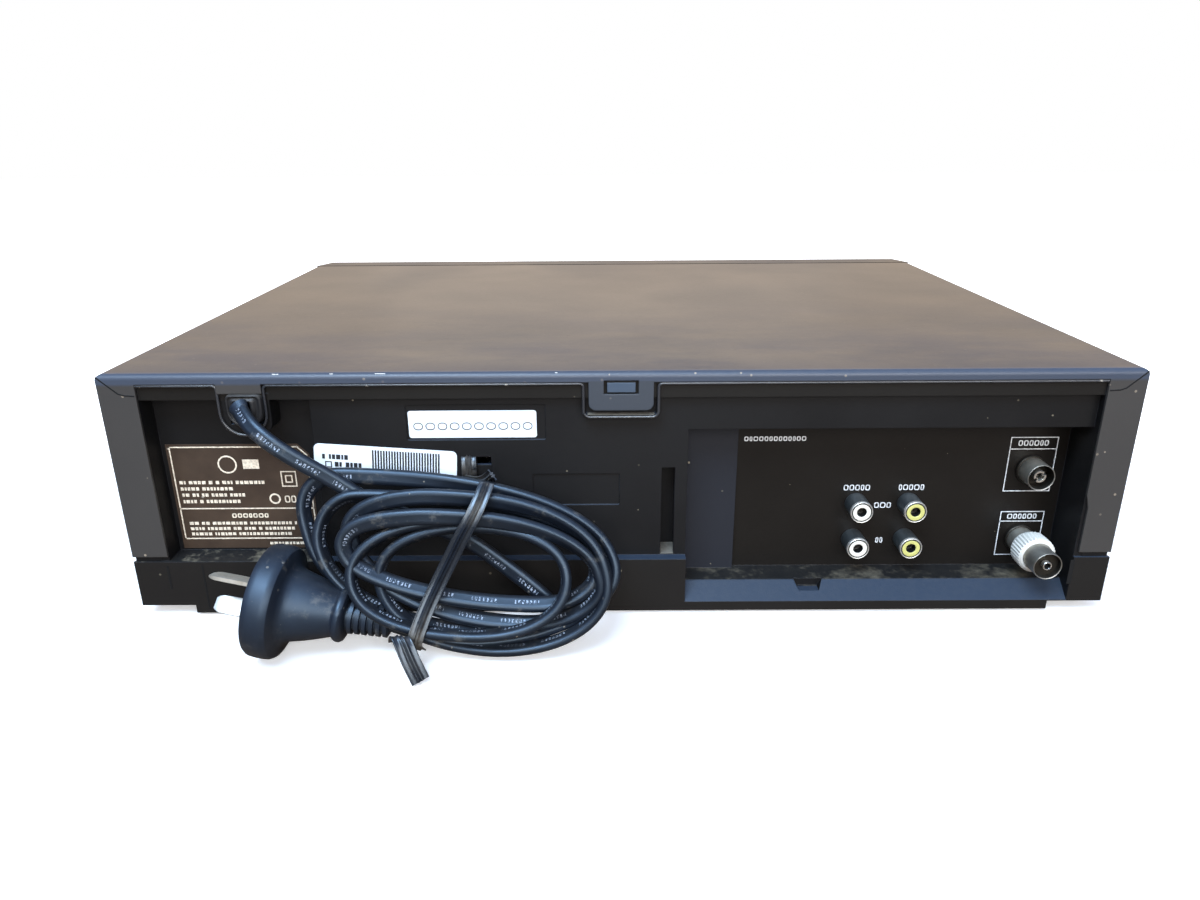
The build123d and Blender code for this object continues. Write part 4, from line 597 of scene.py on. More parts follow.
# %% Label print


def label_finish():
    """Dark brown printed film, a little glossier than the panel, which drifts slowly to a paler brown."""
    material, tree, sockets = new_material("label_print")
    slow = noise(add(tree, "TexCoord")["Object"], 55, 5, 0.7)
    film = dusted(tree, drifting(slow, (50, 36, 26), (62, 46, 33), low=0.4), 0.02, 0.1, 0.08)
    wire(sockets, {"Base Color": film["Color"], "Roughness": ramp(slow, 0.3, 0.7, 0.4, 0.52),
                   "Normal": grained(tree, 1800.0, 0.1)})
    return material


finishes["label_print"] = label_finish()
print("finish:", finishes["label_print"].name)

# %% Lead rubber
LEAD_ROUND = 0.0155  # the length once round the lead's skin
LETTER_PITCH, WORD_PITCH = 0.00135, 0.0146
PRINT_MIDDLE, PRINT_HALF = 0.25, 0.027  # where the print lies, as shares of the way round
PRINT_LOW_Z, PRINT_END_X = (0.036, 0.030), (0.088, 0.092)  # the runs whose print faces the viewer
LEAD_SHEEN = (0.58, 0.78, 1.0, 1.0)


def printed_marks(uv):
    """Small marks in words: short steps along the lead, broken by a fine noise, on one broad side."""
    part = split(uv)
    flat = add(uv.tree, "CombineXYZ", {"X": part["X"] * LEAD_ROUND, "Y": part["Y"]})["Vector"]
    letter = (part["Y"] * (1 / LETTER_PITCH)).fraction() < 0.56
    word = (part["Y"] * (1 / WORD_PITCH)).fraction() < 0.62
    row = abs(part["X"] - PRINT_MIDDLE) < PRINT_HALF
    return letter * word * row * ramp(noise(flat, 2100, 1), 0.46, 0.54)


def lead_finish(name, tints, rough, printed):
    """Blue-black flexible plastic with a cool sheen; where printed, pale marks stand in words."""
    material, tree, sockets = new_material(name)
    coords = add(tree, "TexCoord")
    at = coords["Object"]
    slow = noise(at, 45, 5, 0.65)
    colour = drifting(slow, *tints)
    if printed:
        place = split(at)
        seen = ramp(place["Z"], *PRINT_LOW_Z).higher(ramp(place["X"], *PRINT_END_X))
        marks = printed_marks(coords["UV"]) * seen * ramp(slow, 0.36, 0.5, 0.2, 0.7)
        colour = mix(marks, colour, rgb(178, 190, 208))
    dusty = ramp(noise(at, 120, 7, 0.75), 0.57, 0.70, 0.0, 0.32)
    film = dusted(tree, colour, dusty + 0.012, 0.04, 0.25, rgb(140, 134, 122))
    rough_now = ramp(slow, 0.3, 0.7, *rough) + film["Mask"] * 0.5
    wire(sockets, {"Base Color": film["Color"], "Roughness": rough_now.clamped(),
                   "Normal": grained(tree, 420.0, 0.10), "Specular IOR Level": 0.7,
                   "Specular Tint": LEAD_SHEEN})
    return material


finishes["cord_rubber"] = lead_finish("cord_rubber", ((14, 19, 29), (21, 28, 40)), (0.38, 0.50), False)
printed_rubber = lead_finish("printed_rubber", ((8, 12, 20), (13, 19, 30)), (0.36, 0.46), True)
print("finish:", finishes["cord_rubber"].name)

# %% Tie ribbon
# In metres: the ribbon's tail near the table, its wrap near the panel, and the strap between them.
TAIL_Z, WRAP_Z, STRAP_Y = (0.026, 0.012), (0.048, 0.054), (0.1735, 0.1700)
TIE_SHEEN = (0.72, 0.86, 1.0, 1.0)


def tie_finish():
    """Glossy dark ribbon, with grey-brown dust caught where it rubbed the table and the panel."""
    material, tree, sockets = new_material("tie_plastic")
    at = add(tree, "TexCoord")["Object"]
    place = split(at)
    slow = noise(at, 150, 6, 0.7)
    low, high = ramp(place["Z"], *TAIL_Z), ramp(place["Z"], *WRAP_Z)
    strap = ramp(place["Y"], *STRAP_Y, 0.25, 1.0)
    dusty = ramp(slow, 0.42, 0.60) * (low.higher(high) * strap) * 0.32
    colour = drifting(slow, (12, 15, 21), (20, 24, 32))
    film = dusted(tree, colour, dusty, 0.06, 0.4, rgb(138, 128, 112))
    wire(sockets, {"Base Color": film["Color"], "Roughness": (0.27 + film["Mask"] * 0.6).clamped(),
                   "Normal": grained(tree, 500.0, 0.2), "Specular IOR Level": 0.9,
                   "Specular Tint": TIE_SHEEN})
    return material


finishes["tie_plastic"] = tie_finish()
print("finish:", finishes["tie_plastic"].name)

# %% Printing ink


def ink(name, tint):
    """Screen-printed ink, slightly thin in places so that the surface under it shows."""
    material, tree, sockets = new_material(name)
    thin = noise(add(tree, "TexCoord")["Object"], 900, 4, 0.7)
    dimmer = (*(c * 0.62 for c in rgb(*tint)[:3]), 1.0)
    wire(sockets, {"Base Color": mix(ramp(thin, 0.4, 0.62), dimmer, rgb(*tint)), "Roughness": 0.55})
    return material


cream_ink = ink("cream_ink", (244, 228, 204))
white_ink = ink("white_ink", (236, 238, 240))
grey_ink = ink("grey_ink", (138, 140, 144))
black_ink = ink("black_ink", (40, 40, 44))
# Near black: the dark joints of the seam lines, and painted shade in the jacks' throats and the pin's hole.
finishes["socket_dark"] = moulded("socket_dark", (6, 6, 7), (9, 9, 10), (0.6, 0.7), wear=0.0,
                                  dust=(0.0, 0.0, 0.0))
print("inks ready")

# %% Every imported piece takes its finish
for part in frame["record"]["subparts"]:
    piece = nodes[part["node"]]
    piece.data.materials.clear()
    piece.data.materials.append(finishes[part["material_slot"]])

# %% [markdown]
# ## Studio
# A white surround, a pale floor that keeps the shadow, one cool soft light from above and behind
# the camera, and a wide fill lower down and further back. A warm light low on the far side, with a
# weak pale one in its middle, lies on the cover as a sheen.

# %% World


def make_world():
    """White to the camera; to the rest a cool sky, brightest overhead: strength = line in the ray's Z."""
    world = bpy.data.worlds.new("surround")
    world.use_nodes = True
    tree = world.node_tree
    paint = next(n for n in tree.nodes if n.type == "BACKGROUND")
    seen = add(tree, "LightPath")["Is Camera Ray"]
    high = split(add(tree, "TexCoord")["Generated"])["Z"]
    sky = mix(ramp(high, 0.0, 0.6), rgb(168, 174, 188), rgb(152, 184, 238))
    power = ramp(high, 0.05, 0.7, 0.16, 0.85) * (1.0 - seen)
    wire(paint.inputs, {"Color": mix(seen, sky, rgb(255, 255, 255)), "Strength": power + seen})
    bpy.context.scene.world = world
    return world


print("world:", make_world().name)

# %% Lights


def area_light(name, place, target, size, power, tint):
    """A rectangular soft light, (wide, high) in size, that looks from its place at a target."""
    data = bpy.data.lights.new(name, "AREA")
    data.shape = "RECTANGLE"
    data.size, data.size_y = size
    data.energy = power
    data.color = tint
    back = unit(np.subtract(place, target))
    side = unit(np.cross([0, 0, 1], back))
    return stand(name, data, [side, np.cross(back, side), back], place)


area_light("key", (0.30, 0.80, 1.15), (0.0, 0.1, 0.03), (0.7, 0.6), 28.0, (0.62, 0.80, 1.0))
area_light("front_fill", (-0.30, 1.5, 0.62), (0.0, 0.1, 0.04), (1.4, 0.7), 24.0, (1.0, 0.99, 0.98))
area_light("far_sheen", (0.0, -1.3, 0.42), (0.0, 0.0, 0.09), (3.4, 0.9), 14.5, (1.0, 0.73, 0.44))
area_light("far_middle", (0.0, -1.28, 0.42), (0.0, 0.0, 0.09), (0.9, 0.9), 0.5, (0.96, 0.96, 1.0))

# %% Floor
FLOOR_HALF, FLOOR_CELLS = 3.0, 12


def floor_finish():
    """Matt and nearly white; to the camera it glows more the further it is from the object's middle."""
    material, tree, sockets = new_material("floor_white")
    seen = add(tree, "LightPath")["Is Camera Ray"]
    away = add(tree, "TexCoord")["Object"]
    for operation, by in (("SUBTRACT", (0.0, 0.03, 0.0)), ("MULTIPLY", (1.0, 1.25, 1.0))):
        away = add(tree, "VectorMath", {0: away, 1: by}, operation=operation)["Vector"]
    away = add(tree, "VectorMath", {0: away}, operation="LENGTH")["Value"]
    wire(sockets, {"Base Color": mix(seen, rgb(124, 104, 86), rgb(238, 238, 238)),
                   "Roughness": 0.7, "Specular IOR Level": 0.2, "Emission Color": (1, 1, 1, 1),
                   "Emission Strength": ramp(away, 0.24, 0.34, 0.36, 1.1) * seen})
    return material


def make_floor():
    """A flat square of even cells about the origin."""
    mesh = bpy.data.meshes.new("floor")
    line = np.linspace(-FLOOR_HALF, FLOOR_HALF, FLOOR_CELLS + 1)
    gx, gy = np.meshgrid(line, line, indexing="ij")
    points = np.stack([gx, gy, np.zeros_like(gx)], -1).reshape(-1, 3)
    i, j = np.meshgrid(np.arange(FLOOR_CELLS), np.arange(FLOOR_CELLS), indexing="ij")
    row = FLOOR_CELLS + 1
    corner = (i * row + j).ravel()
    quads = np.stack([corner, corner + row, corner + row + 1, corner + 1], -1)
    mesh.from_pydata(points.tolist(), [], quads.tolist())
    mesh.materials.append(floor_finish())
    floor = bpy.data.objects.new("floor", mesh)
    bpy.context.collection.objects.link(floor)
    return floor


print("stage:", make_floor().name)

# %% [markdown]
# ## Mesh helpers
# Every added piece is made of grids: a grid of points is a skin, a profile turned round an axis
# is a grid too, and so is a section carried along a line. `build` joins grids into one mesh.

# %% Grids


def skin(grid, wrap_u=False, ink_slot=0):
    """Grid (rows, columns, 3) in mm; each square joins (i, j), (i+1, j), (i+1, j+1), (i, j+1)."""
    rows, cols = grid.shape[:2]
    i, j = np.meshgrid(np.arange(rows - (not wrap_u)), np.arange(cols - 1), indexing="ij")
    i, j = i.ravel(), j.ravel()
    i2, j2 = (i + 1) % rows, j + 1
    quads = np.stack([i * cols + j, i2 * cols + j, i2 * cols + j2, i * cols + j2], -1)
    along = np.linalg.norm(np.diff(grid.mean(axis=0), axis=0), axis=-1)
    along = np.concatenate([[0.0], np.cumsum(along)]) * MM
    corners = ((i / rows, j), ((i + 1) / rows, j), ((i + 1) / rows, j2), (i / rows, j2))
    uv = np.stack([np.stack([u, along[v]], -1) for u, v in corners], 1)
    return grid.reshape(-1, 3), quads, uv, np.full(len(quads), ink_slot)


def lathe(profile, steps=72, ink_slot=0, flute=None):
    """Profile of (radius, height); point = (r cos a, r sin a, z), with r changed by flute(a, z, r)."""
    r, z = np.asarray(profile, float).T
    a = np.linspace(0, 2 * np.pi, steps, endpoint=False)[:, None]
    radius = np.broadcast_to(r, (steps, len(r)))
    if flute is not None:
        radius = flute(a, z[None, :], radius)
    grid = np.stack([radius * np.cos(a), radius * np.sin(a), np.broadcast_to(z, radius.shape)], -1)
    return skin(grid, wrap_u=True, ink_slot=ink_slot)


def capped(grid, first, last):
    """A tube of rows whose two ends close on one point each."""
    ends = [np.broadcast_to(point, (len(grid), 1, 3)) for point in (first, last)]
    return skin(np.concatenate([ends[0], grid, ends[1]], 1), wrap_u=True)


def sweep(line, across, section, scale=(1.0, 1.0)):
    """A closed section on a line: p + s x A + t y (T x A); A is across, made square to T; (s, t) is scale."""
    line, section = np.asarray(line, float), np.asarray(section, float)
    tangent = unit(np.gradient(line, axis=0))
    across = np.broadcast_to(across, line.shape)
    wide = unit(across - np.sum(across * tangent, -1, keepdims=True) * tangent)
    thin = np.cross(tangent, wide)
    x, y = section[:, 0, None, None], section[:, 1, None, None]
    scale = np.broadcast_to(scale, (len(line), 2))
    grid = line[None] + x * scale[:, :1] * wide[None] + y * scale[:, 1:] * thin[None]
    return capped(grid, line[0], line[-1])


def slab(x, y, z):
    """A thin rectangular plate between two corners, its faces turned outward."""
    corners = np.array([[a, b, c] for a in x for b in y for c in z], float)
    quads = np.array([[0, 1, 3, 2], [4, 6, 7, 5], [0, 4, 5, 1], [2, 3, 7, 6], [0, 2, 6, 4], [1, 5, 7, 3]])
    uv = np.tile(np.array([[0, 0], [1, 0], [1, 1], [0, 1]], float) * MM, (len(quads), 1, 1))
    return corners, quads, uv, np.zeros(len(quads))


def at_depth(flat, y):
    """Points (x, z) of an upright plane, put at its place along Y."""
    return np.stack([flat[:, 0], np.full(len(flat), y), flat[:, 1]], -1)


def bulged(a, power):
    """A superellipse's (x, y) at angle a: the cosine and the sine, each size raised to a power."""
    flat = np.stack([np.cos(a), np.sin(a)], -1)
    return np.sign(flat) * np.abs(flat) ** power


def beside(line):
    """For each (x, z) point of a line, the unit direction in its plane that is square to the line."""
    tangent = unit(np.gradient(line, axis=0))
    return np.stack([-tangent[:, 1], tangent[:, 0]], -1)


print("grid helpers ready")

# %% Places and building


def turn(axis, degrees):
    """A 4 x 4 turn about one axis: cosines on the diagonal, plus and minus the sine off it."""
    return np.array(Matrix.Rotation(math.radians(degrees), 4, axis))


def at_place(matrix, point):
    """The same turn, with its shift set to a point."""
    matrix = matrix.copy()
    matrix[:3, 3] = point
    return matrix


def moved(shape, matrix):
    """The same shape with its points turned and shifted by a 4 x 4 matrix: p' = R p + t."""
    return (shape[0] @ matrix[:3, :3].T + matrix[:3, 3], *shape[1:])


def build(name, shapes, materials, body="chassis", crease=38.0):
    """Joins shapes (in mm) into one mesh in metres, welds them, and turns the faces outward."""
    starts = np.cumsum([0] + [len(s[0]) for s in shapes[:-1]])
    points = np.concatenate([s[0] for s in shapes]) * MM
    quads = np.concatenate([s[1] + start for s, start in zip(shapes, starts)])
    uv, inks = (np.concatenate([s[k] for s in shapes]) for k in (2, 3))
    mesh = bpy.data.meshes.new(name)
    mesh.from_pydata(points.tolist(), [], quads.tolist())
    mesh.uv_layers.new(name="UVMap").data.foreach_set("uv", uv.reshape(-1))
    mesh.polygons.foreach_set("material_index", inks.astype(np.int32))
    work = bmesh.new()
    work.from_mesh(mesh)
    bmesh.ops.remove_doubles(work, verts=work.verts, dist=1e-6)
    bmesh.ops.recalc_face_normals(work, faces=work.faces)
    work.to_mesh(mesh)
    work.free()
    mesh.shade_smooth()
    mesh.set_sharp_from_angle(angle=math.radians(crease))
    for material in materials:
        mesh.materials.append(material)
    piece = bpy.data.objects.new(name, mesh)
    bpy.context.collection.objects.link(piece)
    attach(piece, body)
    print(name, "on", body + ":", len(mesh.polygons), "faces")
    return piece


print("building helpers ready")

# %% [markdown]
# ## Mains lead
# The lead leaves its gland, drops to the hank, crosses behind it and then goes round six times.
# Each turn is four stops, and between two stops the points follow a quarter of a squarish oval.
# All of it is one smooth spline; the flat rubber section is then carried along that spline.

# %% The lead's route
LEAD_ROUTE = [
    (131.3, 134.0, 83.2),
    (127.0, 140.5, 79.6),
    (118.5, 144.2, 73.4),
    (109.0, 143.9, 66.3),
    (100.4, 142.0, 60.0),
    (87.0, 141.0, 49.2),
]
HANK_CENTRE = np.array([55.0, 150.6, 30.9])
LEAN = math.radians(18.0)
HANK_U = np.array([1.0, 0.0, 0.0])
HANK_V = np.array([0.0, -math.sin(LEAN), math.cos(LEAN)])
HANK_N = np.array([0.0, math.cos(LEAN), math.sin(LEAN)])
# Across, up and out of the hank's plane, in mm: the strand that crosses behind every turn.
BEHIND = [(14, 13.5, -8), (-1.5, 7, -8), (-14, -2.3, -8), (-25, -10.8, -7.5), (-32.5, -16, -7),
          (-33.5, -22, -7), (-27, -26, -6.8)]
FIRST_LOW = (-16, -26.6, -6.5, 50)
# Each turn's four stops are a side, the top, the other side and the bottom. A stop is across, up,
# out, and how far the lead's broad side is turned toward the viewer, in degrees.
TURNS = [
    [(56.5, 17.5, -4, 25), (43, 31, -3, 88), (-53.8, -2, -1, 8), (-10, -24.4, 0, 50)],
    [(49.8, 7.5, 1, 15), (35, 24.3, 0, 30), (-51, -4, 0, 8), (-4, -26.6, 1, 40)],
    [(28.4, -3, 4, 8), (-3, 13.4, 4, 15), (-36.5, -4, 6.5, 8), (-6, -23.4, 8, 12)],
    [(37.4, -3, 7, 8), (5, 15, 4, 20), (-46, -2, 1, 10), (-26, -14, 2, 55)],
    [(41.5, 7.5, 8, 50), (8, 17.8, 9.5, 82), (-48, -6, 4, 12), (-21, -21, 0.5, 55)],
    [(38.6, 11.5, 4.2, 50), (8, 24.2, 6, 80), (-50.5, -6, 4.5, 10), (-13, -29.6, 3, 20)],
]
# How square the quarter is that ends at each stop: under 1 bulges out, over 1 cuts across.
SQUARENESS = [
    [0.95, 0.9, 0.95, 1.0],
    [1.06, 0.9, 0.95, 1.0],
    [1.0, 0.95, 0.9, 0.9],
    [0.92, 0.95, 0.95, 0.95],
    [1.12, 0.85, 0.95, 1.0],
    [1.08, 0.85, 0.9, 0.95],
]
LAST_RUN = [(3, -27.6, 2), (13.5, -24.3, 1.9)]
ROUTE_ROLL, BEHIND_ROLL, LAST_ROLL = 90.0, 75.0, 30.0
POINTS_PER_QUARTER = 4
LEAST_BEND = 8.5
LEAD_WIDE, LEAD_THIN = 5.8, 3.6
print("turns in the hank:", len(TURNS))

# %% The plug's place
PLUG_TIP = np.array([124.2, 155.5, 20.7])
PLUG_PITCH, PLUG_YAW, PLUG_ROLL = 10.5, -4.0, 90.0
PLUG_LENGTH = 45.5
NECK_REACH = 5.0  # how far the lead runs on inside the neck


def plug_matrix():
    """Shift to the tip, then yaw, pitch and roll; the plug's own +Z points toward its blades."""
    return at_place(turn("Z", PLUG_YAW) @ turn("Y", 90 - PLUG_PITCH) @ turn("Z", PLUG_ROLL), PLUG_TIP)


PLUG_PLACE = plug_matrix()
PLUG_AXIS = PLUG_PLACE[:3, 2]
NECK_END = PLUG_TIP - PLUG_LENGTH * PLUG_AXIS
print("neck ends at", NECK_END.round(1).tolist())

# %% The lead's control points


def in_row(uvn):
    """Hank plane to row frame: centre + u U + v V + n N."""
    u, v, n = np.asarray(uvn, float).T
    return HANK_CENTRE + u[:, None] * HANK_U + v[:, None] * HANK_V + n[:, None] * HANK_N


def quarter(start, end, from_side, square):
    """A quarter oval: centre + (start - centre) cos^p a + (end - centre) sin^p a, without its start."""
    start, end = np.asarray(start, float), np.asarray(end, float)
    centre = np.array([end[0], start[1]]) if from_side else np.array([start[0], end[1]])
    a = np.linspace(0, np.pi / 2, POINTS_PER_QUARTER + 1)[1:, None]
    flat = (centre + (start[:2] - centre) * np.maximum(np.cos(a), 0) ** square
            + (end[:2] - centre) * np.sin(a) ** square)
    rest = start[2:] + (end[2:] - start[2:]) * (2 * a / np.pi)
    return np.concatenate([flat, rest], 1)


def eased(points, least, rounds=40, pull=0.35):
    """Where the circle through three points, of radius abc / 4K, is too small, the middle one moves in."""
    points = points.copy()
    for _ in range(rounds):
        a, b, c = points[:-2], points[1:-1], points[2:]
        sides = [np.linalg.norm(q - p, axis=1) for p, q in ((a, b), (b, c), (a, c))]
        twice_area = np.linalg.norm(np.cross(b - a, c - a), axis=1)
        radius = np.prod(sides, axis=0) / np.maximum(2 * twice_area, 1e-9)
        share = np.clip((least - radius) / least, 0, 1)[:, None]
        points[1:-1] += pull * share * ((a + c) / 2 - b)
    return points


def lead_points():
    """Route, the strand behind, every turn by its quarters, then the run into the plug's neck."""
    turns, low = [np.array([FIRST_LOW], float)], FIRST_LOW
    for stops, squares in zip(TURNS, SQUARENESS):
        for k, (stop, square) in enumerate(zip(stops, squares)):
            turns.append(quarter(low, stop, k % 2 == 1, square))
            low = stop
    turns = np.concatenate(turns)
    hank = np.concatenate([np.array(BEHIND, float), turns[:, :3], np.array(LAST_RUN, float)])
    last = np.array([NECK_END, NECK_END + NECK_REACH * PLUG_AXIS])
    rolls = np.concatenate([[ROUTE_ROLL] * len(LEAD_ROUTE), [BEHIND_ROLL] * len(BEHIND), turns[:, 3],
                            [LAST_ROLL] * (len(LAST_RUN) + len(last))])
    hank = eased(in_row(hank), LEAST_BEND)
    return np.concatenate([np.array(LEAD_ROUTE), hank, last]), rolls


controls, rolls = lead_points()
print("control points:", len(controls))

# %% The lead's smooth line


def smooth_line(points, steps=6):
    """A NURBS spline of order 3, pulled by these control points, as points in mm along its curve."""
    data = bpy.data.curves.new("lead_line", "CURVE")
    data.dimensions = "3D"
    data.resolution_u = steps
    spline = data.splines.new("NURBS")
    spline.points.add(len(points) - 1)
    spline.points.foreach_set("co", np.c_[points * MM, np.ones(len(points))].ravel())
    spline.order_u = 3
    spline.use_endpoint_u = True
    holder = bpy.data.objects.new("lead_line", data)
    mesh = bpy.data.meshes.new_from_object(holder)
    line = np.empty(len(mesh.vertices) * 3)
    mesh.vertices.foreach_get("co", line)
    bpy.data.objects.remove(holder)
    bpy.data.meshes.remove(mesh)
    return line.reshape(-1, 3) / MM


lead_line = smooth_line(controls)
lead_steps = np.linalg.norm(np.diff(lead_line, axis=0), axis=-1)

# %% The lead's flat rubber
GROOVE_DEPTH, GROOVE_HALF = 0.13, 0.6


def lead_section(steps=28):
    """Superellipse |x/a|^2.6 + |y/b|^2.6 = 1, with a shallow groove between the two cores."""
    flat = bulged(np.linspace(0, 2 * np.pi, steps, endpoint=False), 0.77)
    x, y = (flat * [LEAD_WIDE / 2, LEAD_THIN / 2]).T
    return np.stack([x, y * (1 - GROOVE_DEPTH * np.exp(-((x / GROOVE_HALF) ** 2)))], -1)


def lead_across(line):
    """The wide direction: sin(roll) S + cos(roll) N, where S lies in the hank's plane."""
    share = np.linspace(0, len(controls) - 1, len(line))
    roll = np.radians(np.interp(share, np.arange(len(controls)), rolls))[:, None]
    tangent = unit(np.gradient(line, axis=0))
    side = unit(np.cross(HANK_N, tangent))
    return np.sin(roll) * side + np.cos(roll) * np.cross(tangent, side)


lead = build("mains_lead", [sweep(lead_line, lead_across(lead_line), lead_section())],
             [printed_rubber], crease=80)
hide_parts("power_lead", "cord_coil")

# %% The moulded plug
PLUG_FACE = [(0, 0), (14, 0), (17.6, -0.1), (18.8, -0.5), (19.4, -1.4), (19.6, -3), (19.6, -6.4),
             (19.4, -7.8), (18.7, -8.9), (17.4, -9.5), (15.6, -9.9)]
PLUG_CONE = [(14.0, -10.5), (13.0, -11.6), (12.4, -13.2), (11.9, -15.2), (11.2, -17.8), (10.4, -20.4),
             (9.5, -23.0), (8.7, -25.2), (8.3, -26.4)]
PLUG_COLLAR = [(8.5, -26.9), (9.2, -27.4), (9.6, -28.2), (9.6, -29.2), (9.2, -30.0), (8.4, -30.4),
               (7.0, -30.6)]
PLUG_TAIL = [(4.4, 0.3 - PLUG_LENGTH), (4.1, -PLUG_LENGTH), (0, -PLUG_LENGTH)]
RIBS, RIB_TOP, RIB_PITCH, RIB_RADIUS, RIB_SHRINK, RIB_HIGH = 6, -30.5, 2.42, 6.3, 0.2, 1.3
GROOVE_END, RIB_START, RIB_END = 0.9, 1.05, 2.35  # how far each lies below the groove's start
NECK_START, NECK_BLEND, NECK_FLAT = 29.0, 6.0, 0.16


def plug_skin():
    """Blade end, round disc, hollow cone, collar, then a neck with slowly shrinking ribs cut round it."""
    ribs = []
    for k in range(RIBS):
        top, size = RIB_TOP - RIB_PITCH * k, RIB_RADIUS - RIB_SHRINK * k
        root = size - RIB_HIGH
        ribs += [(root, top), (root, top - GROOVE_END), (size, top - RIB_START), (size, top - RIB_END)]
    return PLUG_FACE + PLUG_CONE + PLUG_COLLAR + ribs + PLUG_TAIL


def plug_flat(a, z, r):
    """The neck is flatter than it is wide: its radius loses up to a sixth across the flat."""
    share = np.clip((-z - NECK_START) / NECK_BLEND, 0, 1)
    return r * (1 - share * NECK_FLAT * np.cos(a) ** 2)


plug = build("plug_moulding", [moved(lathe(plug_skin(), 96, flute=plug_flat), PLUG_PLACE)],
             [finishes["cord_rubber"]], crease=32)
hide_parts("plug_body")

# %% The blades
BLADE_WIDE, BLADE_THICK, BLADE_CORNER = 6.3, 1.6, 0.82
BLADE_SPREAD, BLADE_LEAN, BLADE_ROLL = 6.9, 30.0, -15.0
# Along a blade, from inside the plug to its tip: the place, and the shares of width and thickness.
BLADE_STEPS = [(-0.5, 1, 1), (0, 1, 1), (6, 1, 1), (12, 1, 1), (14.6, 0.97, 0.95), (16.0, 0.84, 0.7),
               (16.7, 0.68, 0.5), (17.0, 0.62, 0.4)]


def blade_shape():
    """A flat bar with cut corners: width and thickness shrink near the tip, sides = half size x taper."""
    z, wide, thick = np.array(BLADE_STEPS, float).T
    c = BLADE_CORNER
    outline = np.array([(-1, -c), (-c, -1), (c, -1), (1, -c), (1, c), (c, 1), (-c, 1), (-1, c)])
    grid = np.stack([outline[:, 0, None] * (wide * BLADE_WIDE / 2),
                     outline[:, 1, None] * (thick * BLADE_THICK / 2),
                     np.broadcast_to(z, (len(outline), len(z)))], -1)
    return capped(grid, [0, 0, z[0]], [0, 0, z[-1]])


def blade_place(side):
    """Roll the pair, shift each blade off the axis, then lean it: together an inverted V."""
    shift = at_place(np.eye(4), (0, side * BLADE_SPREAD, 0))
    return PLUG_PLACE @ turn("Z", BLADE_ROLL) @ shift @ turn("Z", side * BLADE_LEAN)


blades = build("plug_blades", [moved(blade_shape(), blade_place(side)) for side in (-1, 1)],
               [finishes["brass_blade"]], crease=25)
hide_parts("plug_pins")

# %% The twist tie
# Over the hank, in its plane: across, up, out.
TIE_OVER = [(-9.6, 28.6, 7.6), (-8.6, 25.2, 10.2), (-6.0, 18.8, 13.0), (-1.2, 10.6, 12.0),
            (2.6, 3.2, 10.2), (6.6, -4.4, 9.6), (10.0, -11.6, 10.2), (12.8, -18.5, 11.4),
            (14.4, -23.4, 12.2), (15.2, -26.0, 10.4), (14.0, -27.4, 7.0)]
TIE_WRAP = [(55.5, 128.4, 53.4), (51.5, 131.5, 53.6), (48.0, 134.8, 55.4), (45.6, 138.0, 58.2),
            (44.6, 140.4, 60.0)]
TIE_TAIL = [(75.4, 168.2, 11.2), (74.6, 170.4, 15.2), (72.4, 172.9, 14.0), (70.2, 174.9, 8.8),
            (68.2, 176.0, 4.6), (66.8, 176.7, 1.5)]
TIE_RING_CENTRE = np.array([54.2, 127.0, 57.9])
TIE_RING_HALF, TIE_RING_SLANT = (2.6, 4.2), 0.5
TIE_WEB, TIE_EDGE = 0.2, 0.12
TIE_WIDE, WRAP_WIDE, TAIL_WIDE = 5.4, 4.6, 6.2
# The ribbon's broad direction on the bar, on the wrap, at the strap's two ends, and on the tail.
ON_BAR, ON_WRAP, ON_TAIL = (1.0, 0.0, 0.0), (0.4, 0.1, 0.9), (0.92, 0.3, 0.25)
STRAP_TOP, STRAP_FOOT = np.array([0.95, -0.2, 0.1]), np.array([0.85, 0.25, 0.45])
# Bumps on the web: each one's height, its place as a share of the half width, and its own width.
TIE_BUMPS = [(0.6, 0.2, 0.14), (0.12, 0.92, 0.08)]


def tie_section(wide):
    """A thin web, two wires beside its middle and a bead at each edge: half thickness = web + bumps."""
    x = np.linspace(-1, 1, 33)
    half = TIE_WEB + sum(high * np.exp(-(((np.abs(x) - at) / size) ** 2)) for high, at, size in TIE_BUMPS)
    half[[0, -1]] = TIE_EDGE
    top = np.stack([x * wide / 2, half], -1)
    return np.concatenate([top, top[::-1] * [1, -1]])


def tie_ring():
    """An oval round the eyelet's bar: centre + (s sin a/2, b cos a, c sin a), where s slants it."""
    a = np.linspace(0, 2 * np.pi, 40)
    depth, height = TIE_RING_HALF
    oval = np.stack([TIE_RING_SLANT * np.sin(a / 2), depth * np.cos(a), height * np.sin(a)], -1)
    return TIE_RING_CENTRE + oval


def tie_shapes():
    """Four ribbons: the ring on the bar, the wrap below it, the strap over the hank, and the free end."""
    over = smooth_line(in_row(TIE_OVER), 8)
    wrap, tail = smooth_line(np.array(TIE_WRAP), 8), smooth_line(np.array(TIE_TAIL), 8)
    twist = np.linspace(0, 1, len(over))[:, None]
    across = (1 - twist) * STRAP_TOP + twist * STRAP_FOOT
    return [sweep(tie_ring(), ON_BAR, tie_section(TIE_WIDE)), sweep(wrap, ON_WRAP, tie_section(WRAP_WIDE)),
            sweep(over, across, tie_section(TIE_WIDE)), sweep(tail, ON_TAIL, tie_section(TAIL_WIDE))]


tie = build("twist_tie_ribbon", tie_shapes(), [finishes["tie_plastic"]], crease=60)
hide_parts("twist_tie")

# %% [markdown]
# ## Printing and labels
# Print is a set of thin plates that stand a tenth of a millimetre off what they are printed on.
# Words are only hinted at, by rows of short dashes or of closed marks, with fixed seeds so that
# they never change.

# %% Print helpers
INK_HIGH, INK_SUNK = 0.1, 0.05


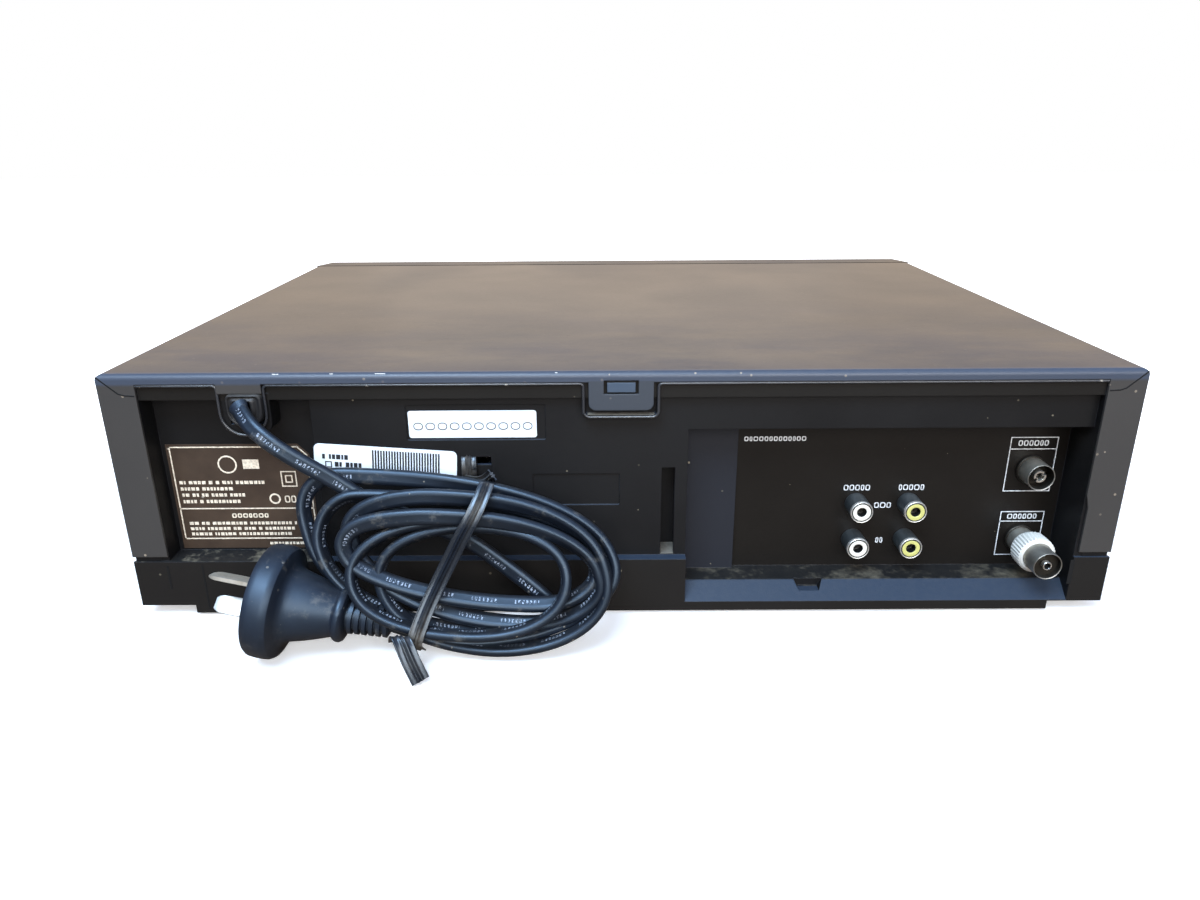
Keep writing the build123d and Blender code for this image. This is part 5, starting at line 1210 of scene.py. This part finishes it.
def on_wall(x, z, y):
    """A plate from x[0] to x[1] and z[0] to z[1], standing on the wall at y, its face toward +Y."""
    return slab(x, (y - INK_SUNK, y + INK_HIGH), z)


def outline(x, z, y, width):
    """A rectangle's four sides as plates, each as wide as the line."""
    return [on_wall(x, (z[1] - width, z[1]), y), on_wall(x, (z[0], z[0] + width), y),
            on_wall((x[0], x[0] + width), (z[0] + width, z[1] - width), y),
            on_wall((x[1] - width, x[1]), (z[0] + width, z[1] - width), y)]


def dashes(x, z, y, height, seed, mean=1.1, gap=0.35, space=1.4):
    """One row of greeked words from x[1] down to x[0]: marks of random width, with random breaks."""
    dice = np.random.default_rng(seed)
    plates, at = [], x[1]
    while at > x[0] + mean:
        wide = mean * dice.uniform(0.6, 1.5)
        plates.append(on_wall((max(at - wide, x[0]), at), (z - height / 2, z + height / 2), y))
        at -= wide + (space if dice.random() < 0.2 else gap)
    return plates


def loop_mark(centre, wide, high, y, stroke=0.3, steps=24, power=3.4):
    """A closed mark, one stroke wide, on |x / a|^power + |z / b|^power = 1; a power of 2 is an ellipse."""
    shape = bulged(np.linspace(0, 2 * np.pi, steps, endpoint=False), 2 / power)
    half = np.array([wide, high]) / 2
    edges = ((0, -INK_SUNK), (0, INK_HIGH), (stroke, INK_HIGH), (stroke, -INK_SUNK))
    rings = [at_depth(centre + (half - inset) * shape, y + depth) for inset, depth in edges]
    return skin(np.stack(rings, 1), wrap_u=True)


def loops(x, z, y, high, count, seed, stroke=0.3, gap=0.4):
    """A row of closed marks between two ends: their widths are random shares of the row's length."""
    dice = np.random.default_rng(seed)
    shares = dice.uniform(0.75, 1.25, count)
    wide = shares / shares.sum() * (abs(x[1] - x[0]) - gap * (count - 1))
    left = max(x) - np.concatenate([[0], np.cumsum(wide + gap)[:-1]])
    return [loop_mark((a - w / 2, z), w, high, y, stroke) for a, w in zip(left, wide)]


print("print helpers ready")

# %% The rating label's print
LABEL_FACE = 122.2
LABEL_X, LABEL_Z = (114.1, 164.3), (27.2, 64.3)
LABEL_SPLIT, LABEL_LINE, LABEL_CORNER, LABEL_STROKE = 39.5, 0.45, 3.4, 0.42
CUT_HALF, CUT_INSET = 0.707 * LABEL_CORNER, 0.15  # the slanted line's half length, and its shift inward
# Rows of small print: the two ends, the height of the row's middle, and the marks' own height.
LABEL_ROWS = [
    ((130.5, 162.6), 50.2, 1.25),
    ((142.2, 162.6), 47.7, 1.25),
    ((138.6, 162.4), 45.2, 1.25),
    ((140.7, 162.4), 42.6, 1.25),
    ((120.0, 161.6), 33.7, 1.15),
    ((121.5, 161.6), 31.5, 1.15),
    ((123.2, 161.5), 29.3, 1.15),
    ((117.8, 132.5), 25.3, 1.0),
]
LABEL_SQUARES = [((119.2, 124.9), (48.4, 54.6)), ((120.7, 123.4), (50.0, 53.0))]
LABEL_BAR = ((132.3, 138.2), (55.6, 59.2))
# Plain rings: the middle, the width, the stroke, and the steps round them.
LABEL_RINGS = [((143.9, 57.3), 7.0, 0.55, 48), ((128.2, 43.6), 4.2, 0.6, 40)]
# Rows of closed marks: the ends, the middle's height, the marks' height, how many, and the seed.
LABEL_LOOPS = [((131.6, 145.2), 36.8, 1.8, 7, 40), ((120.4, 124.6), 43.4, 2.8, 2, 41)]


def label_lines():
    """A cream frame whose one corner is cut, and a rule across it a third of the way up."""
    (x0, x1), (z0, z1), w, c = LABEL_X, LABEL_Z, LABEL_LINE, LABEL_CORNER
    spans = [((x0 + c, x1), (z1 - w, z1)), ((x0, x1), (z0, z0 + w)), ((x0, x0 + w), (z0, z1 - c)),
             ((x1 - w, x1), (z0, z1)), ((x0, x1), (LABEL_SPLIT, LABEL_SPLIT + w))]
    cut = slab((-w / 2, w / 2), (-INK_SUNK, INK_HIGH), (-CUT_HALF, CUT_HALF))
    place = at_place(turn("Y", 45), (x0 + c / 2 + CUT_INSET, LABEL_FACE, z1 - c / 2 - CUT_INSET))
    return [*(on_wall(x, z, LABEL_FACE) for x, z in spans), moved(cut, place)]


def label_words():
    """Rows of dashes and of closed marks, nested squares, plain rings, and a bar beside one of them."""
    plates = [on_wall(*LABEL_BAR, LABEL_FACE)]
    for seed, (x, z, height) in enumerate(LABEL_ROWS):
        plates += dashes(x, z, LABEL_FACE, height, seed, mean=1.0, gap=0.42, space=1.2)
    for x, z in LABEL_SQUARES:
        plates += outline(x, z, LABEL_FACE, LABEL_STROKE)
    for middle, wide, stroke, steps in LABEL_RINGS:
        plates.append(loop_mark(middle, wide, wide, LABEL_FACE, stroke, steps=steps, power=2))
    for x, z, high, count, seed in LABEL_LOOPS:
        plates += loops(x, z, LABEL_FACE, high, count, seed, stroke=LABEL_STROKE)
    return plates


build("label_printing", label_lines() + label_words(), [cream_ink])

# %% The stickers' print
SERIAL_FACE, SERIAL_CENTRE = 127.6, (52.3, 73.4)
SERIAL_MARKS, SERIAL_PITCH, SERIAL_MARK, SERIAL_STROKE = 10, 4.3, (3.4, 2.8), 0.28
PRICE_FACE, PRICE_CENTRE, PRICE_TILT = 128.2, (84.3, 59.3), 4.0
BARS, BAR_START, BAR_PITCH, BAR_WIDE, BAR_Z = 25, -19.3, 0.98, 0.58, (-2.5, 5.2)
# Rows of dashes on the tilted sticker: the ends, the middle's height, the marks' height, the seed.
PRICE_ROWS = [((11.5, 22.6), 1.8, 1.8, 22), ((8.6, 18.2), -1.0, 1.8, 23), ((10.0, 18.6), -3.4, 0.6, 24)]
UNDER_BARS, UNDER_BARS_Z, UNDER_BARS_HIGH = (-11.7, -3.8), -4.3, 1.9
PRICE_BOX = ((19.2, 21.6), (-2.4, 0.0))


def serial_marks():
    """Ten closed marks at an even pitch, where a number would be."""
    x0, z0 = SERIAL_CENTRE
    places = x0 + SERIAL_PITCH * (np.arange(SERIAL_MARKS) - (SERIAL_MARKS - 1) / 2)
    return [loop_mark((x, z0), *SERIAL_MARK, SERIAL_FACE, SERIAL_STROKE, power=2.2) for x in places]


def price_marks():
    """Even bars that hold no code, closed marks under them, and three short rows and a box beside them."""
    bars = BAR_START + BAR_PITCH * np.arange(BARS)
    plates = [on_wall((x, x + BAR_WIDE), BAR_Z, 0) for x in bars]
    plates += loops(UNDER_BARS, UNDER_BARS_Z, 0, UNDER_BARS_HIGH, 5, 21)
    for x, z, height, seed in PRICE_ROWS:
        plates += dashes(x, z, 0, height, seed)
    plates += outline(*PRICE_BOX, 0, 0.35)
    tilt = at_place(turn("Y", -PRICE_TILT), (PRICE_CENTRE[0], PRICE_FACE, PRICE_CENTRE[1]))
    return [moved(plate, tilt) for plate in plates]


build("sticker_printing", serial_marks() + price_marks(), [black_ink])

# %% The jack bay's print
JACK_WALL, FRAME_LINE, CAPTION_STROKE = 114.0, 0.32, 0.36
# Frames round the two coaxial sockets: across, up, and where the rule inside stands.
BAY_FRAMES = [((-163.1, -145.4), (41.4, 63.3), (58.4, 58.7)), ((-162.8, -146.1), (14.5, 33.1), (28.8, 29.1))]
# Captions: the row's two ends, the height of its middle, how tall its marks are, and how many.
CAPTIONS = [
    ((-159.6, -148.4), 60.9, 2.2, 6),
    ((-160.0, -148.8), 31.0, 2.1, 6),
    ((-94.9, -84.9), 43.3, 2.3, 5),
    ((-115.4, -105.8), 43.3, 2.3, 5),
    ((-103.6, -97.2), 36.0, 2.3, 3),
    ((-101.9, -99.2), 21.2, 2.3, 2),
    ((-69.2, -46.2), 63.2, 1.8, 13),
]


def bay_print():
    """White frames round the two coaxial sockets, each with a rule, and captions as closed marks."""
    plates = []
    for x, z, rule in BAY_FRAMES:
        plates += [*outline(x, z, JACK_WALL, FRAME_LINE), on_wall(x, rule, JACK_WALL)]
    for seed, (x, z, height, count) in enumerate(CAPTIONS, 50):
        plates += loops(x, z, JACK_WALL, height, count, seed, stroke=CAPTION_STROKE)
    return plates


build("jack_bay_printing", bay_print(), [white_ink])

# %% [markdown]
# ## Sockets
# Each phono jack gets a bright rolled rim, a coloured face and a near-black throat, painted shade,
# with its contact. The coaxial sockets are plain drawn tubes, their insides darkened as painted shade.
# All of them are profiles turned round an axis, written as radius and height, with height 0 at the open end.

# %% Phono jacks
JACK_X, JACK_Z = (-90.0, -110.0), (36.9, 21.9)
RIM_TOP, THROAT_TOP = 123.0, 122.4
JACK_RIM = [(4.14, -1.2), (4.22, -1.1), (4.24, -0.35), (4.16, 0.0), (3.98, 0.16), (3.82, 0.1), (3.74, -0.05),
            (3.72, -0.4), (3.74, -1.0), (4.14, -1.2)]
JACK_FACE = [(1.8, -0.6), (1.82, -0.2), (1.96, -0.04), (2.4, 0.02), (3.3, 0.0), (3.8, -0.2)]
JACK_SLEEVE = [(4.18, -8.98), (4.18, -1.1), (4.0, -1.0)]
JACK_THROAT = [(1.86, 0.3), (1.8, 0.42), (1.66, 0.36), (1.6, -0.2), (1.6, -6.0), (0.0, -6.0)]
JACK_SPRING = [(1.58, -2.9), (1.56, -2.6), (1.3, -2.55), (1.25, -2.9), (1.25, -4.5)]


def toward_back(x, y, z):
    """A place whose own +Z points along +Y, out of the rear panel."""
    return at_place(turn("X", -90), (x, y, z))


jacks = [(x, z) for x in JACK_X for z in JACK_Z]
# Each row: the piece's name, its profile, its top, its jacks, its finish, its slot and its crease.
JACK_PIECES = [
    ("jack_rims", lathe(JACK_RIM, 48), RIM_TOP, jacks, "rim_nickel", "nickel", 30),
    ("audio_jack_faces", lathe(JACK_FACE, 48), RIM_TOP, jacks[:2], "white_insert", "white_insert", 30),
    ("video_jack_faces", lathe(JACK_FACE, 48), RIM_TOP, jacks[2:], "yellow_insert", "yellow_insert", 30),
    ("jack_sleeves", lathe(JACK_SLEEVE, 48), RIM_TOP, jacks, "sleeve_nickel", "nickel", 30),
    # The throats are near black: painted shade inside the jacks.
    ("jack_throats", lathe(JACK_THROAT, 32), THROAT_TOP, jacks, "socket_dark", "chip_black", 38),
    ("jack_springs", lathe(JACK_SPRING, 32), THROAT_TOP, jacks, "nickel", "nickel", 38),
]
for name, shape, top, places, finish, slot, crease in JACK_PIECES:
    shapes = [moved(shape, toward_back(x, top, z)) for x, z in places]
    build(name, shapes, [finishes[finish]], crease=crease)
print("jacks dressed:", len(jacks))

# %% The coaxial sockets
COAX_X, AERIAL_Z, RF_Z = -154.5, 50.4, 21.9
AERIAL_TIP, RF_TIP, ADAPTOR_TIP = 123.0, JACK_WALL + 5.92, 138.0
AERIAL_RADIUS, RF_RADIUS, ADAPTOR_RADIUS = 5.05, 4.95, 5.2
AERIAL_LONG, RF_LONG, ADAPTOR_LONG = 8.98, 5.9, 17.9
AERIAL_WALL, RF_WALL, ADAPTOR_WALL = 0.36, 0.5, 0.34
CONTACT_DROP, PIN_DROP = 1.2, 0.3  # how far each socket's middle stands back from its tip
SLIT_HALF = 0.3  # half a slit's angle, in radians


def thin_tube(outer, wall, length):
    """A drawn tube's outside and its thin lip."""
    inner = outer - wall
    return lathe([(outer, -length), (outer, -0.35), (outer - 0.08, -0.08), (outer - wall / 2, 0.0),
                  (inner, -0.12), (inner - 0.02, -0.5)])


def tube_inside(inner, depth, lip=0.45, steps=72):
    """The inside of a tube down to its floor, dark as painted shade."""
    return lathe([(inner, -lip), (inner, -depth), (0.0, -depth)], steps, ink_slot=1)


def tube_root(outer, length):
    """A dark collar round a tube's root."""
    return lathe([(outer + 0.6, -length), (outer + 0.6, 1.0 - length), (outer + 0.3, 1.3 - length),
                  (outer - 0.1, 1.4 - length)], ink_slot=1)


def split_sleeve(radius, length, slits=2, start=0.9):
    """A spring contact, slit down most of its length."""
    def slit(a, z, r):
        """The radius, which drops by two fifths wherever the angle falls in a slit."""
        turn_now = (a + start) % (2 * np.pi / slits) - np.pi / slits
        return np.where((np.abs(turn_now) < SLIT_HALF) & (z > -length * 0.8), r * 0.6, r)
    profile = [(radius, -length), (radius, -0.3), (radius * 0.94, 0.0), (radius * 0.68, 0.0),
               (radius * 0.62, -0.3), (radius * 0.62, -length), (0, -length)]
    return lathe(profile, 96, flute=slit)


def pin_tube(radius, length):
    """The adaptor's centre: a hollow pin with a thin bright rim."""
    return lathe([(radius, -length), (radius, -0.1), (radius * 0.94, 0.0), (radius * 0.78, 0.0),
                  (radius * 0.72, -0.15)], 36)


def coax(name, shapes, metals, replaced=None):
    """One piece from (shape, tip, height) rows, all on the coaxial sockets' line."""
    placed = [moved(shape, toward_back(COAX_X, tip, z)) for shape, tip, z in shapes]
    piece = build(name, placed, [finishes[metal_name] for metal_name in metals], crease=30)
    if replaced:
        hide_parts(replaced)


coax("coax_sleeves", [(thin_tube(AERIAL_RADIUS, AERIAL_WALL, AERIAL_LONG), AERIAL_TIP, AERIAL_Z),
                      (tube_inside(AERIAL_RADIUS - AERIAL_WALL, 6.2), AERIAL_TIP, AERIAL_Z),
                      (tube_root(AERIAL_RADIUS, AERIAL_LONG), AERIAL_TIP, AERIAL_Z),
                      (thin_tube(RF_RADIUS, RF_WALL, RF_LONG), RF_TIP, RF_Z),
                      (tube_root(RF_RADIUS, RF_LONG), RF_TIP, RF_Z)],
     ["aged_nickel", "socket_inside"], "rf_sockets")
coax("adaptor_sleeve", [(thin_tube(ADAPTOR_RADIUS, ADAPTOR_WALL, ADAPTOR_LONG), ADAPTOR_TIP, RF_Z),
                        (tube_inside(ADAPTOR_RADIUS - ADAPTOR_WALL, 2.6), ADAPTOR_TIP, RF_Z)],
     ["aged_nickel", "socket_inside"], "adaptor_tube")
# The pin's hole is near black, painted shade.
coax("coax_contacts", [(split_sleeve(2.35, 5.0), AERIAL_TIP - CONTACT_DROP, AERIAL_Z),
                       (pin_tube(1.6, 2.0), ADAPTOR_TIP - PIN_DROP, RF_Z),
                       (tube_inside(1.16, 1.8, 0.1, 36), ADAPTOR_TIP - PIN_DROP, RF_Z)],
     ["nickel", "socket_dark"])

# %% The knurled white ring
RING_Y, RING_LONG = 121.3, 8.7
RING_PROFILE = [(5.3, 0), (5.9, 0), (6.1, 0.3), (6.2, 1.4), (6.8, 1.6), (7.0, 1.9), (7.0, 5.0), (7.0, 7.6),
                (6.8, 8.1), (6.4, 8.3), (6.1, RING_LONG), (5.3, RING_LONG), (5.3, 0)]
FLUTES, FLUTE_DEPTH, FLUTE_ENDS = 34, 0.6, (1.5, 8.2)


def flute(a, z, r):
    """Radius less a depth x (1 - |sin| of the flute angle), between the ring's two plain shoulders."""
    low, high = FLUTE_ENDS
    grip = np.clip((z - low) / 0.3, 0, 1) * np.clip((high - z) / 0.3, 0, 1)
    return r - FLUTE_DEPTH * grip * (1 - np.abs(np.sin(FLUTES * a / 2))) ** 1.2


knurled = lathe(RING_PROFILE, FLUTES * 10, flute=flute)
ring = build("knurled_sleeve", [moved(knurled, toward_back(COAX_X, RING_Y, RF_Z))],
             [finishes["white_ring"]], body="knurled_ring", crease=50)
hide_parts("adaptor_ring")

# %% [markdown]
# ## Seams and small marks
# Folded and moulded parts meet in dark lines, and a glossy lip runs round the panel's openings.
# Each is a narrow strip, or a bead, that follows a line of (x, z) points.

# %% Seams
SEAM_FACE, SEAM_HIGH, SEAM_SUNK = 132.0, 0.06, 0.05
EAR_MITRE = [(179.6, 93.2), (173.0, 87.3), (171.0, 86.6), (167.4, 86.4)]
# Upright lines: the places along X and Z, and how wide the line is.
UPRIGHTS = [(167.8, (11.3, 16.0, 20.9), 0.9), (-166.7, (11.6, 16.0, 21.6), 1.7),
            (154.9, (2.9, 12.0, 21.4), 0.7)]


def strip(points, width):
    """A strip along a line of (x, z) points: each point goes half a width to either side of the line."""
    line = np.asarray(points, float)
    side = beside(line) * width / 2
    corners = ((-1, -SEAM_SUNK), (-1, SEAM_HIGH), (1, SEAM_HIGH), (1, -SEAM_SUNK))
    rows = [at_depth(line + way * side, SEAM_FACE + high) for way, high in corners]
    return skin(np.stack(rows), wrap_u=True)


def seams():
    """The mitres of both ears, then the upright lines at the base's ends and in its strip."""
    made = [strip([(side * x, z) for x, z in EAR_MITRE], 0.5) for side in (-1, 1)]
    return made + [strip([(x, z) for z in heights], width) for x, heights, width in UPRIGHTS]


build("seam_lines", seams(), [finishes["socket_dark"]])

# %% The panel's lip
RIM_X, RIM_Z, RIM_Y, RIM_R = 166.8, 89.75, 131.45, 0.5
GLAND_MID, GLAND_HALF, GLAND_TURN_Z, GLAND_FLARE = 131.1, 8.1, 79.9, 1.4
CATCH_HALF, CATCH_LOW, CATCH_TURN, CATCH_FLARE = 13.0, 77.7, 2.2, 1.2


def bead(points, radius, y, steps=10):
    """A half-sunk round bead along a line of (x, z) points: p + r cos a N + r sin a Y."""
    line = np.asarray(points, float)
    a = np.linspace(0, 2 * np.pi, steps, endpoint=False)[:, None, None]
    flat = line[None] + radius * np.cos(a) * beside(line)[None]
    high = y + radius * np.sin(a) + np.zeros_like(flat[..., :1])
    return skin(np.concatenate([flat[..., :1], high, flat[..., 1:]], -1), wrap_u=True)


def arc(centre, radius, start, end, steps=5):
    """Points on a circle between two angles in degrees: centre + r (cos a, sin a)."""
    a = np.radians(np.linspace(start, end, steps))
    return [(centre[0] + radius * np.cos(t), centre[1] + radius * np.sin(t)) for t in a]


def dip(middle, half, flare, bottom):
    """The lip leaves the flange's line by a small arc, follows a bottom, and comes back by another."""
    return [*arc((middle + half + flare, RIM_Z - flare), flare, 90, 180), *bottom,
            *arc((middle - half - flare, RIM_Z - flare), flare, 0, 90)]


def rim_line():
    """The panel's raised lip: under the flange, round the gland's collar, and round the catch tab."""
    turn_z, inside = CATCH_LOW + CATCH_TURN, CATCH_HALF - CATCH_TURN
    gland = dip(GLAND_MID, GLAND_HALF, GLAND_FLARE, arc((GLAND_MID, GLAND_TURN_Z), GLAND_HALF, 0, -180, 19))
    catch = dip(0.0, CATCH_HALF, CATCH_FLARE, [*arc((inside, turn_z), CATCH_TURN, 0, -90, 7),
                                               *arc((-inside, turn_z), CATCH_TURN, -90, -180, 7)])
    return [(RIM_X, RIM_Z), *gland, *catch, (-RIM_X, RIM_Z)]


rim_finish = moulded("rim_gloss", (20, 24, 31), (28, 33, 42), (0.2, 0.3), grain=(900, 0.1), specular=0.8)
build("panel_rim", [bead(rim_line(), RIM_R, RIM_Y)], [rim_finish], crease=60)

# %% Slabs behind the openings
# A dark slab in the gap under each ear, a painted shadow line, set back from both faces; the dark
# wall behind the upright slot; thick dust on the slot's floor and in the pocket under the catch tab;
# the latch in the catch's hole, in painted cool light.
GAP_SHADE_X, GAP_SHADE_Y, GAP_SHADE_Z = (170.0, 179.3), (60.0, 131.2), (22.5, 24.7)
CHANNEL = ((-21.0, -12.5), (117.6, 118.4), (21.5, 59.0))
SLOT_DUST = ((-21.4, -12.6), (118.4, 127.9), (22.0, 23.05))
POCKET_DUST = ((-12.0, 12.0), (128.5, 131.0), (78.1, 78.5))
BLOCK = ((-4.9, 4.8), (130.3, 131.85), (86.75, 90.15))

bed_finish = moulded("settled_bed", (70, 67, 58), (46, 44, 39), (0.85, 0.95), grain=(1500, 0.5),
                     dust=(0.2, 0.3, 0.6))
# The latch in the catch's hole: its pale blue-grey is painted cool light.
latch_light_finish = moulded("latch_in_painted_light", (64, 80, 98), (54, 68, 84), (0.3, 0.4), grain=(1200, 0.2))
for name, slabs, finish in (
    ("ear_gap_shades", [slab([side * x for x in GAP_SHADE_X], GAP_SHADE_Y, GAP_SHADE_Z) for side in (-1, 1)],
     finishes["black_plastic"]),
    ("slot_channel", [slab(*CHANNEL)], finishes["black_plastic"]),
    ("settled_beds", [slab(*SLOT_DUST), slab(*POCKET_DUST)], bed_finish),
    ("latch_in_painted_light", [slab(*BLOCK)], latch_light_finish),
):
    build(name, slabs, [finish])

# %% [markdown]
# ## Screws and the gland
# Each screw has a low dome with a cross in it: the points near the cross are lowered, which needs
# no cutting. The gland's rubber is one outline, stacked along the way out and drawn in to the lead.

# %% Cross-recessed screws
SCREW_R, SCREW_X, SCREW_Z, SCREW_YS = 3.6, 179.0, 40.0, (-85.0, 95.0)
DOME_HIGH, CROSS_DEPTH, CROSS_HALF, CROSS_REACH = 0.95, 0.75, 0.55, 1.95


def screw_head():
    """A dome with a cross cut in it: height falls where the point is near either arm of the cross."""
    r = np.concatenate([np.linspace(0, 2.4, 16), np.linspace(2.6, SCREW_R, 6)])
    a = np.linspace(0, 2 * np.pi, 96, endpoint=False)[:, None]
    x, y = r * np.cos(a), r * np.sin(a)
    dome = DOME_HIGH * (1 - (r / SCREW_R) ** 4)
    near, far = np.minimum(np.abs(x), np.abs(y)), np.maximum(np.abs(x), np.abs(y))
    cross = np.clip((CROSS_HALF - near) / 0.25, 0, 1) * np.clip((CROSS_REACH - far) / 0.3, 0, 1)
    top = np.stack([x, y, dome - CROSS_DEPTH * cross], -1)
    skirt = np.stack([SCREW_R * np.cos(a), SCREW_R * np.sin(a), np.zeros_like(a)], -1)
    return skin(np.concatenate([top, skirt], 1), wrap_u=True)


# Two screws on each side; the head's own +Z points out of that side.
screw_places = [at_place(turn("Y", 90 * side), (side * SCREW_X, y, SCREW_Z))
                for side in (-1, 1) for y in SCREW_YS]
screws = build("cover_screw_heads", [moved(screw_head(), place) for place in screw_places],
               [finishes["screw_steel"]], crease=40)
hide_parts("cover_screws")

# %% The gland and the lead's strain relief
GROMMET_MID = GLAND_MID - 1.2
GROMMET_HALF, GROMMET_TOP, GROMMET_TURN, GROMMET_CORNER = 6.3, 86.9, 81.0, 1.6
LEAD_HOLE = np.array([GLAND_MID, 82.6])
# Rings from behind the panel to the hole: the place along Y, and the share of the outline's size.
GROMMET_RINGS = [(124.0, 1.0), (132.2, 1.0), (133.0, 0.96), (133.2, 0.9), (133.1, 0.84), (132.6, 0.78),
                 (132.6, 0.70), (133.3, 0.62), (133.5, 0.52), (133.2, 0.45), (131.0, 0.42)]
# The sleeve round the lead: its length, and by how much each half width stands out at its two ends.
RELIEF_LONG, RELIEF_WIDE, RELIEF_THIN = 5.0, (0.55, 0.05), (0.75, 0.05)


def shield():
    """A flat top with small round corners, straight sides, and half a circle below."""
    inside, corner_z = GROMMET_HALF - GROMMET_CORNER, GROMMET_TOP - GROMMET_CORNER
    points = [*arc((inside, corner_z), GROMMET_CORNER, 0, 90),
              *arc((-inside, corner_z), GROMMET_CORNER, 90, 180),
              *arc((0, GROMMET_TURN), GROMMET_HALF, 180, 360, 24)]
    return np.array(points) + [GROMMET_MID, 0]


def grommet():
    """Outlines stacked along Y, each drawn in toward the lead's hole: p = hole + s (outline - hole)."""
    edge = shield()
    rings = [at_depth(LEAD_HOLE + share * (edge - LEAD_HOLE), y) for y, share in GROMMET_RINGS]
    return skin(np.stack(rings, 1), wrap_u=True)


def relief():
    """A short cone round the first of the lead: its two half widths shrink along the line."""
    run = np.cumsum(np.r_[0, lead_steps])
    line = lead_line[run < RELIEF_LONG]
    circle = bulged(np.linspace(0, 2 * np.pi, 36, endpoint=False), 1)
    halves = np.stack([LEAD_WIDE / 2 + np.linspace(*RELIEF_WIDE, len(line)),
                       LEAD_THIN / 2 + np.linspace(*RELIEF_THIN, len(line))], -1)
    return sweep(line, lead_across(lead_line)[: len(line)], circle, halves)


gland_plug = build("gland_grommet", [grommet()], [finishes["bezel_plastic"]], crease=40)
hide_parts("cord_gland")
build("gland_sleeve", [relief()], [finishes["cord_rubber"]], crease=50)

# %% [markdown]
# ## Front face
# The key symbols are plain shapes printed on the bezel, and the display's unlit segments show
# faintly on the window.

# %% Flat symbols
BEZEL_FACE, WINDOW_FACE = -137.0, -136.7


def on_bezel(points, y, thick=0.12):
    """A flat symbol from (x, z) points that faces -Y: two equal outlines, joined, and a closed face."""
    flat = np.asarray(points, float)
    middle = np.broadcast_to(flat.mean(axis=0), flat.shape)
    steps = ((middle, -thick), (flat, -thick), (flat, INK_SUNK))
    return skin(np.stack([at_depth(edge, y + depth) for edge, depth in steps], 1), wrap_u=True)


def triangle(x, z, size, way):
    """Three corners: the tip lies half a size from the middle, along +X or -X."""
    back = x - way * size * 0.5
    return [(back, z - size * 0.55), (x + way * size * 0.5, z), (back, z + size * 0.55)]


def box(x, z, wide, high):
    """Four corners round a centre."""
    return [(x + u * wide / 2, z + v * high / 2) for u, v in ((-1, -1), (1, -1), (1, 1), (-1, 1))]


def disc(x, z, r):
    """Twenty corners on a circle."""
    return np.array([x, z]) + r * bulged(np.linspace(0, 2 * np.pi, 20, endpoint=False), 1)


print("symbol helpers ready")

# %% Front printing
# Where a seven-segment figure's bars lie about its middle, and how wide and high each is.
FIGURE = [(0, 5, 4, 0.7), (0, 0, 4, 0.7), (0, -5, 4, 0.7), (-2.6, 2.5, 0.7, 4), (2.6, 2.5, 0.7, 4),
          (-2.6, -2.5, 0.7, 4), (2.6, -2.5, 0.7, 4)]
FIGURES_X, FIGURES_Z = (-18, -8, 6, 16), 28


def display_segments():
    """Four seven-segment figures and a row of marks: thin plates, barely lighter than the window."""
    shapes = [box(x + dx, FIGURES_Z + dz, *size) for x in FIGURES_X for dx, dz, *size in FIGURE]
    shapes += [box(-1, 30.2, 0.9, 0.9), box(-1, 25.8, 0.9, 0.9)]
    shapes += [box(-70 + 8 * k, 20.5, 4.5, 1.1) for k in range(5)]
    return [on_bezel(shape, WINDOW_FACE, 0.06) for shape in shapes]


# Each symbol is a list of shapes, over or beside its key.
SYMBOLS = {
    "play": [triangle(133, 82.2, 2.6, 1)],
    "rewind": [triangle(116.2, 66.0, 1.5, -1), triangle(117.9, 66.0, 1.5, -1)],
    "forward": [triangle(148.1, 66.0, 1.5, 1), triangle(149.8, 66.0, 1.5, 1)],
    "stop": [box(133, 50.0, 1.7, 1.7)],
    "record": [disc(117, 34.0, 1.0)],
    "power": [box(-149, 80.4, 0.5, 2.4)],
    "eject": [triangle(-117, 80.4, 1.8, 1)],
    "side keys": [box(150, 36.0, 2.4, 0.6), box(150, 12.4, 2.4, 0.6)],
}
symbol_shapes = [on_bezel(shape, BEZEL_FACE) for shapes in SYMBOLS.values() for shape in shapes]
build("key_symbols", symbol_shapes, [grey_ink])
build("display_segments", display_segments(), [ink("segment_ink", (66, 60, 60))])
